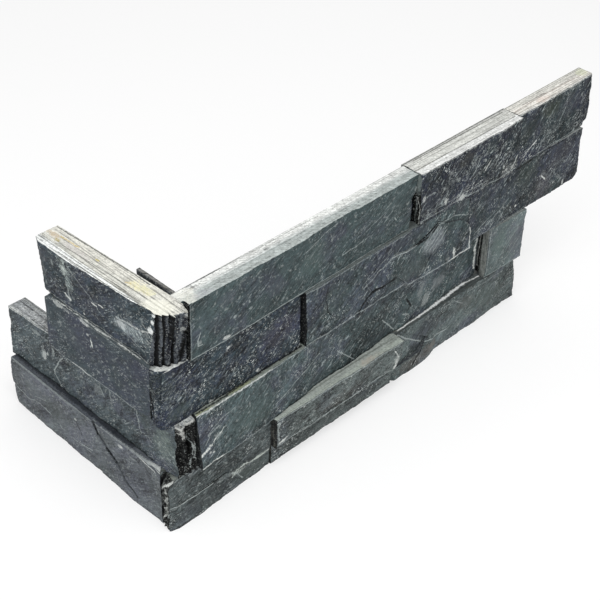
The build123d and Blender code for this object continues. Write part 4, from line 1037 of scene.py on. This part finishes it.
# Top strip of the short leg, over the corner. Its snapped end faces the long side and shows five
# or six upright layers; its sawn top is cream with ochre stains between the layers.
OCHRE = tone(190, 166, 96)
strip = work_slate("short_top_strip", SHORT, 19.5, lean=-36, layers=0.8, rough=0.5, near=0.8,
                   band=1.5, grooves=[(2.5, 4.1, 1.0, 1.5), (4.6, 6.9, 0.9, 1.3), (7.9, 10.3, 1.3, 2.0),
                                      (17.2, 14.0, 1.3, 1.7)], end_reach=14)
lay("short_top_strip", strip, "slate",
    split_face("S1", SHORT, 19.5, tone(57, 69, 74), tone(60, 65, 76), 0.48, -36, 1.0, 0.4, 0.9, 0.5,
               marks=[
        ("bruise", (75.5, 143), (5, 8), tone(200, 212, 206), 1.0, 2.6, 0.85),
        ("bruise", (76, 142), (2.4, 4), tone(206, 216, 210), 0.9, 2.6, 0.4),
        ("bruise", (74, 133), (3, 6), tone(180, 192, 188), 0.9, 3.0, 0.8),
        ("line", [(76.9, 132.4), (76.2, 126), (76.5, 120)], 0.5, PALE, 0.8, 1.0, 0.4),
        ("bruise", (86, 140), (1.2, 2.6), PALE, 0.7, 2.0),
        ("bruise", (95, 142), (6, 6), tone(86, 82, 92), 0.4),
        ("line", [(72, 146), (65.3, 140.6), (53.7, 131), (50, 126)], 0.35, PALE, 0.8, 0.4, 0.2),
        ("line", [(55.8, 129.8), (52.1, 129.5)], 0.6, WHITE, 1.0, 0.2, 0.0),
        ("line", [(49.6, 132.1), (46.4, 131.8)], 0.6, WHITE, 1.0, 0.2, 0.0),
        ("bruise", (33, 128), (10, 5.6), tone(176, 186, 188), 1.0, 2.4, 0.75),
        ("bruise", (34, 127.6), (4, 2.6), tone(206, 212, 212), 0.9, 2.4, 0.4),
        ("bruise", (21, 129), (12, 5), tone(176, 188, 188), 1.0, 2.4, 0.8),
        ("bruise", (12, 132), (7, 8), WHITE, 0.8, 3.0, 1.0),
        ("line", [(30, 124), (23.8, 122.6), (16, 120)], 0.5, PALE, 0.7, 1.0, 0.6),
        ("line", [(36, 131), (26, 131.8), (16, 133.4), (9.5, 136.2)], 0.7, WHITE, 0.7, 1.0, 0.6),
        ("bruise", (10, 137), (2.2, 2.6), tone(236, 240, 238), 1.0, 2.4, 0.3),
        ("bruise", (7.4, 143.6), (1.6, 1.8), tone(236, 240, 238), 1.0, 2.0, 0.2),
        ("bruise", (6.2, 148.6), (2.0, 1.2), tone(236, 240, 238), 1.0, 2.0, 0.2),
        ("bruise", (78, 120.8), (3, 2.4), PALE, 0.6, 2.6),
        ("line", [(12, 113.2), (98, 113.2)], 0.5, WHITE, 0.7, 0.6, 0.6),
        ("bruise", (65.4, 116), (1.0, 0.8), WHITE, 1.0, 1.4, 0.0),
        ("line", [(79, 122.5), (76, 119.2)], 0.8, WHITE, 1.0, 0.5, 0.1),
        ("line", [(98, 116), (100.4, 148)], 0.4, PALE, 0.4, 0.3, 0.6)]),
    bed_face("S1", SHORT, 19.5, tone(246, 249, 247), tone(220, 220, 212), tone(224, 223, 214), 2.0, 7.5,
             0.6, 0.5, 0.35, 0.15, [
                 ("bruise", (76, 6.4), (15, 2.4), tone(172, 164, 166), 0.45, 1.6),
                 ("bruise", (94, 7.2), (6, 2.0), tone(188, 166, 132), 0.8, 1.8),
                 ("bruise", (88.5, 5.4), (2.4, 1.4), tone(164, 146, 70), 0.9, 1.6),
                 ("line", [(90, 8.6), (76, 9.4)], 0.6, OCHRE, 0.8, 0.6, 0.3),
                 ("bruise", (60.3, 9.4), (2.0, 0.9), tone(190, 170, 40), 0.9, 1.4),
                 ("bruise", (27, 10.6), (9, 3.8), tone(230, 224, 182), 0.8, 2.4, 0.5),
                 ("bruise", (24, 12), (6, 2.6), tone(196, 196, 150), 0.6, 3.0, 0.8),
                 ("line", [(33, 9.0), (36, 8.0)], 0.5, OCHRE, 0.7, 0.5, 0.3),
                 ("bruise", (94.3, -0.7), (1.6, 0.8), BLACK, 0.9, 1.0),
                 ("bruise", (7.8, 5.0), (2.0, 0.6), LAYER, 0.8, 1.4),
                 ("line", [(1.2, 7.8), (20, 7.2), (44.9, 6.4)], 0.4, LAYER, 0.9, 0.3, 0.2),
                 ("line", [(44.9, 6.4), (86, 4.0)], 0.35, LAYER, 0.8, 0.3, 0.2),
                 ("line", [(98, 1.2), (60, 1.0), (10, 3.4)], 0.35, LAYER, 0.8, 0.3, 0.2),
                 ("line", [(98, 2.4), (60, 2.4), (30, 3.6)], 0.3, LAYER, 0.7, 0.3, 0.3),
                 ("line", [(80, -0.9), (46, -0.4), (9, 2.2)], 0.35, LAYER, 0.9, 0.3, 0.2),
                 ("line", [(98.7, 12.6), (60, 14.6), (43, 15.4), (26, 15.6)], 0.5, tone(80, 82, 80),
                  0.9, 0.2, 0.1),
                 ("bruise", (9, 6.4), (10, 8), tone(244, 243, 228), 0.6, 1.6, 0.2),
                 ("bruise", (-2, 15.4), (3.5, 2.2), tone(90, 92, 88), 0.8, 2.6)]),
    broken_face("S1", SHORT, 19.5, tone(22, 24, 33), tone(92, 98, 104), 0.5, 0.5, 1.0, marks=[
        # near black down the carved grooves: partly the dark broken layers, partly painted shade in the
        # grooves
        ("line", [(2.5, 149.6), (4.1, 113)], 0.9, tone(6, 7, 8), 0.9, 0.6, 0.1),
        ("line", [(4.6, 149.6), (6.9, 113)], 0.7, tone(8, 9, 12), 0.9, 0.6, 0.2),
        ("line", [(7.9, 149.6), (10.3, 113)], 1.3, tone(6, 7, 8), 1.0, 0.6, 0.0),
        ("line", [(15.6, 138), (14.4, 118)], 1.8, tone(3, 4, 4), 1.0, 0.8, 0.0),
        ("line", [(6.2, 149.8), (13, 149.8)], 0.5, WHITE, 0.8, 0.5, 0.6),
        ("bruise", (15.4, 148.6), (2.0, 1.6), WHITE, 0.8, 3.0, 0.5),
        ("bruise", (13.4, 138), (1.2, 1.4), WHITE, 0.7, 2.0)], plane=END),
    wall_face("S1", SHORT, 19.5))


# Two slips of slate glued across the inner corner behind the courses. Thin split slate, sawn
# square all round.
for node, leg, seed in (("short_backing_slip", SHORT, 21.0), ("long_backing_slip", LONG, 22.5)):
    strip = work_slate(node, leg, seed, layers=0.3, chips=0.3, near=0.1, far=0.1)
    lay(node, strip, "backing_slate",
        split_face(node, leg, seed, tone(74, 76, 76), tone(68, 70, 74), 0.5, 20, 1.2, 0.6, 0.5),
        bed_face(node, leg, seed, tone(150, 150, 144), tone(138, 138, 134), tone(120, 120, 118),
                 14, 16, 1.0, 4.0, 1.0, 0.2),
        broken_face(node, leg, seed, tone(50, 52, 52), tone(110, 112, 110), 0.6, 0.5, 0.4),
        bed_face(node + " wall", leg, seed, tone(120, 126, 124), tone(124, 130, 128),
                 tone(118, 124, 122), lines=0.2, dirt=0.3))


# The plain white paper on which the corner piece stands, with soft studio light from above and
# from the side of the outer corner.
floor_mesh = bpy.data.meshes.new("floor")
sheet = bmesh.new()
bmesh.ops.create_grid(sheet, x_segments=1, y_segments=1, size=6.0)
sheet.to_mesh(floor_mesh)
sheet.free()
floor = bpy.data.objects.new("floor", floor_mesh)
bpy.context.scene.collection.objects.link(floor)
paper = bpy.data.materials.new("white paper")
paper.use_nodes = True
tree = paper.node_tree
shader = tree.nodes["Principled BSDF"]
shader.inputs["Base Color"].default_value = (1.0, 1.0, 1.0, 1)
shader.inputs["Roughness"].default_value = 1.0
shader.inputs["Specular IOR Level"].default_value = 0.0
# what is seen of the paper is lifted half way to white, so the corners of the sheet stay white
path = add(tree, "LightPath").node.outputs
seen = sums(tree, "MAXIMUM", path["Is Camera Ray"], path["Is Glossy Ray"])
seen = sums(tree, "MULTIPLY", sums(tree, "MAXIMUM", seen, path["Is Transmission Ray"]), 0.5)
lifted = add(tree, "MixShader", seen, shader.outputs[0], add(tree, "Emission", (1, 1, 1, 1), 1.0))
tree.links.new(lifted, tree.nodes["Material Output"].inputs["Surface"])
floor_mesh.materials.append(paper)

world = bpy.data.worlds.new("studio")
bpy.context.scene.world = world
world.use_nodes = True
world.node_tree.nodes["Background"].inputs["Color"].default_value = (1, 1, 1, 1)
world.node_tree.nodes["Background"].inputs["Strength"].default_value = 0.6

softbox = bpy.data.lights.new("softbox", "AREA")
softbox.shape = "SQUARE"
softbox.size = 0.9
softbox.energy = 10
lamp = bpy.data.objects.new("softbox", softbox)
lamp.location = (-0.2, -0.32, 1.15)
lamp.rotation_euler = Vector((-0.35, -0.37, 1.08)).to_track_quat("Z", "Y").to_euler()
bpy.context.scene.collection.objects.link(lamp)


# The camera stands off the outer corner and looks down on both legs. Its lens is long, so the
# uprights stay nearly parallel.
lens = bpy.data.cameras.new("camera")
lens.lens = 81.84
lens.sensor_width = 36.0
camera = bpy.data.objects.new("camera", lens)
camera.matrix_world = (Matrix.Translation((-0.3383, -0.4206, 0.5685))
                       @ Matrix.Rotation(math.radians(-45.6), 4, "Z")
                       @ Matrix.Rotation(math.radians(90 - 38.12), 4, "X")
                       @ Matrix.Rotation(math.radians(1.28), 4, "Z"))
bpy.context.scene.collection.objects.link(camera)
bpy.context.scene.camera = camera
bpy.context.scene.view_settings.view_transform = "Standard"
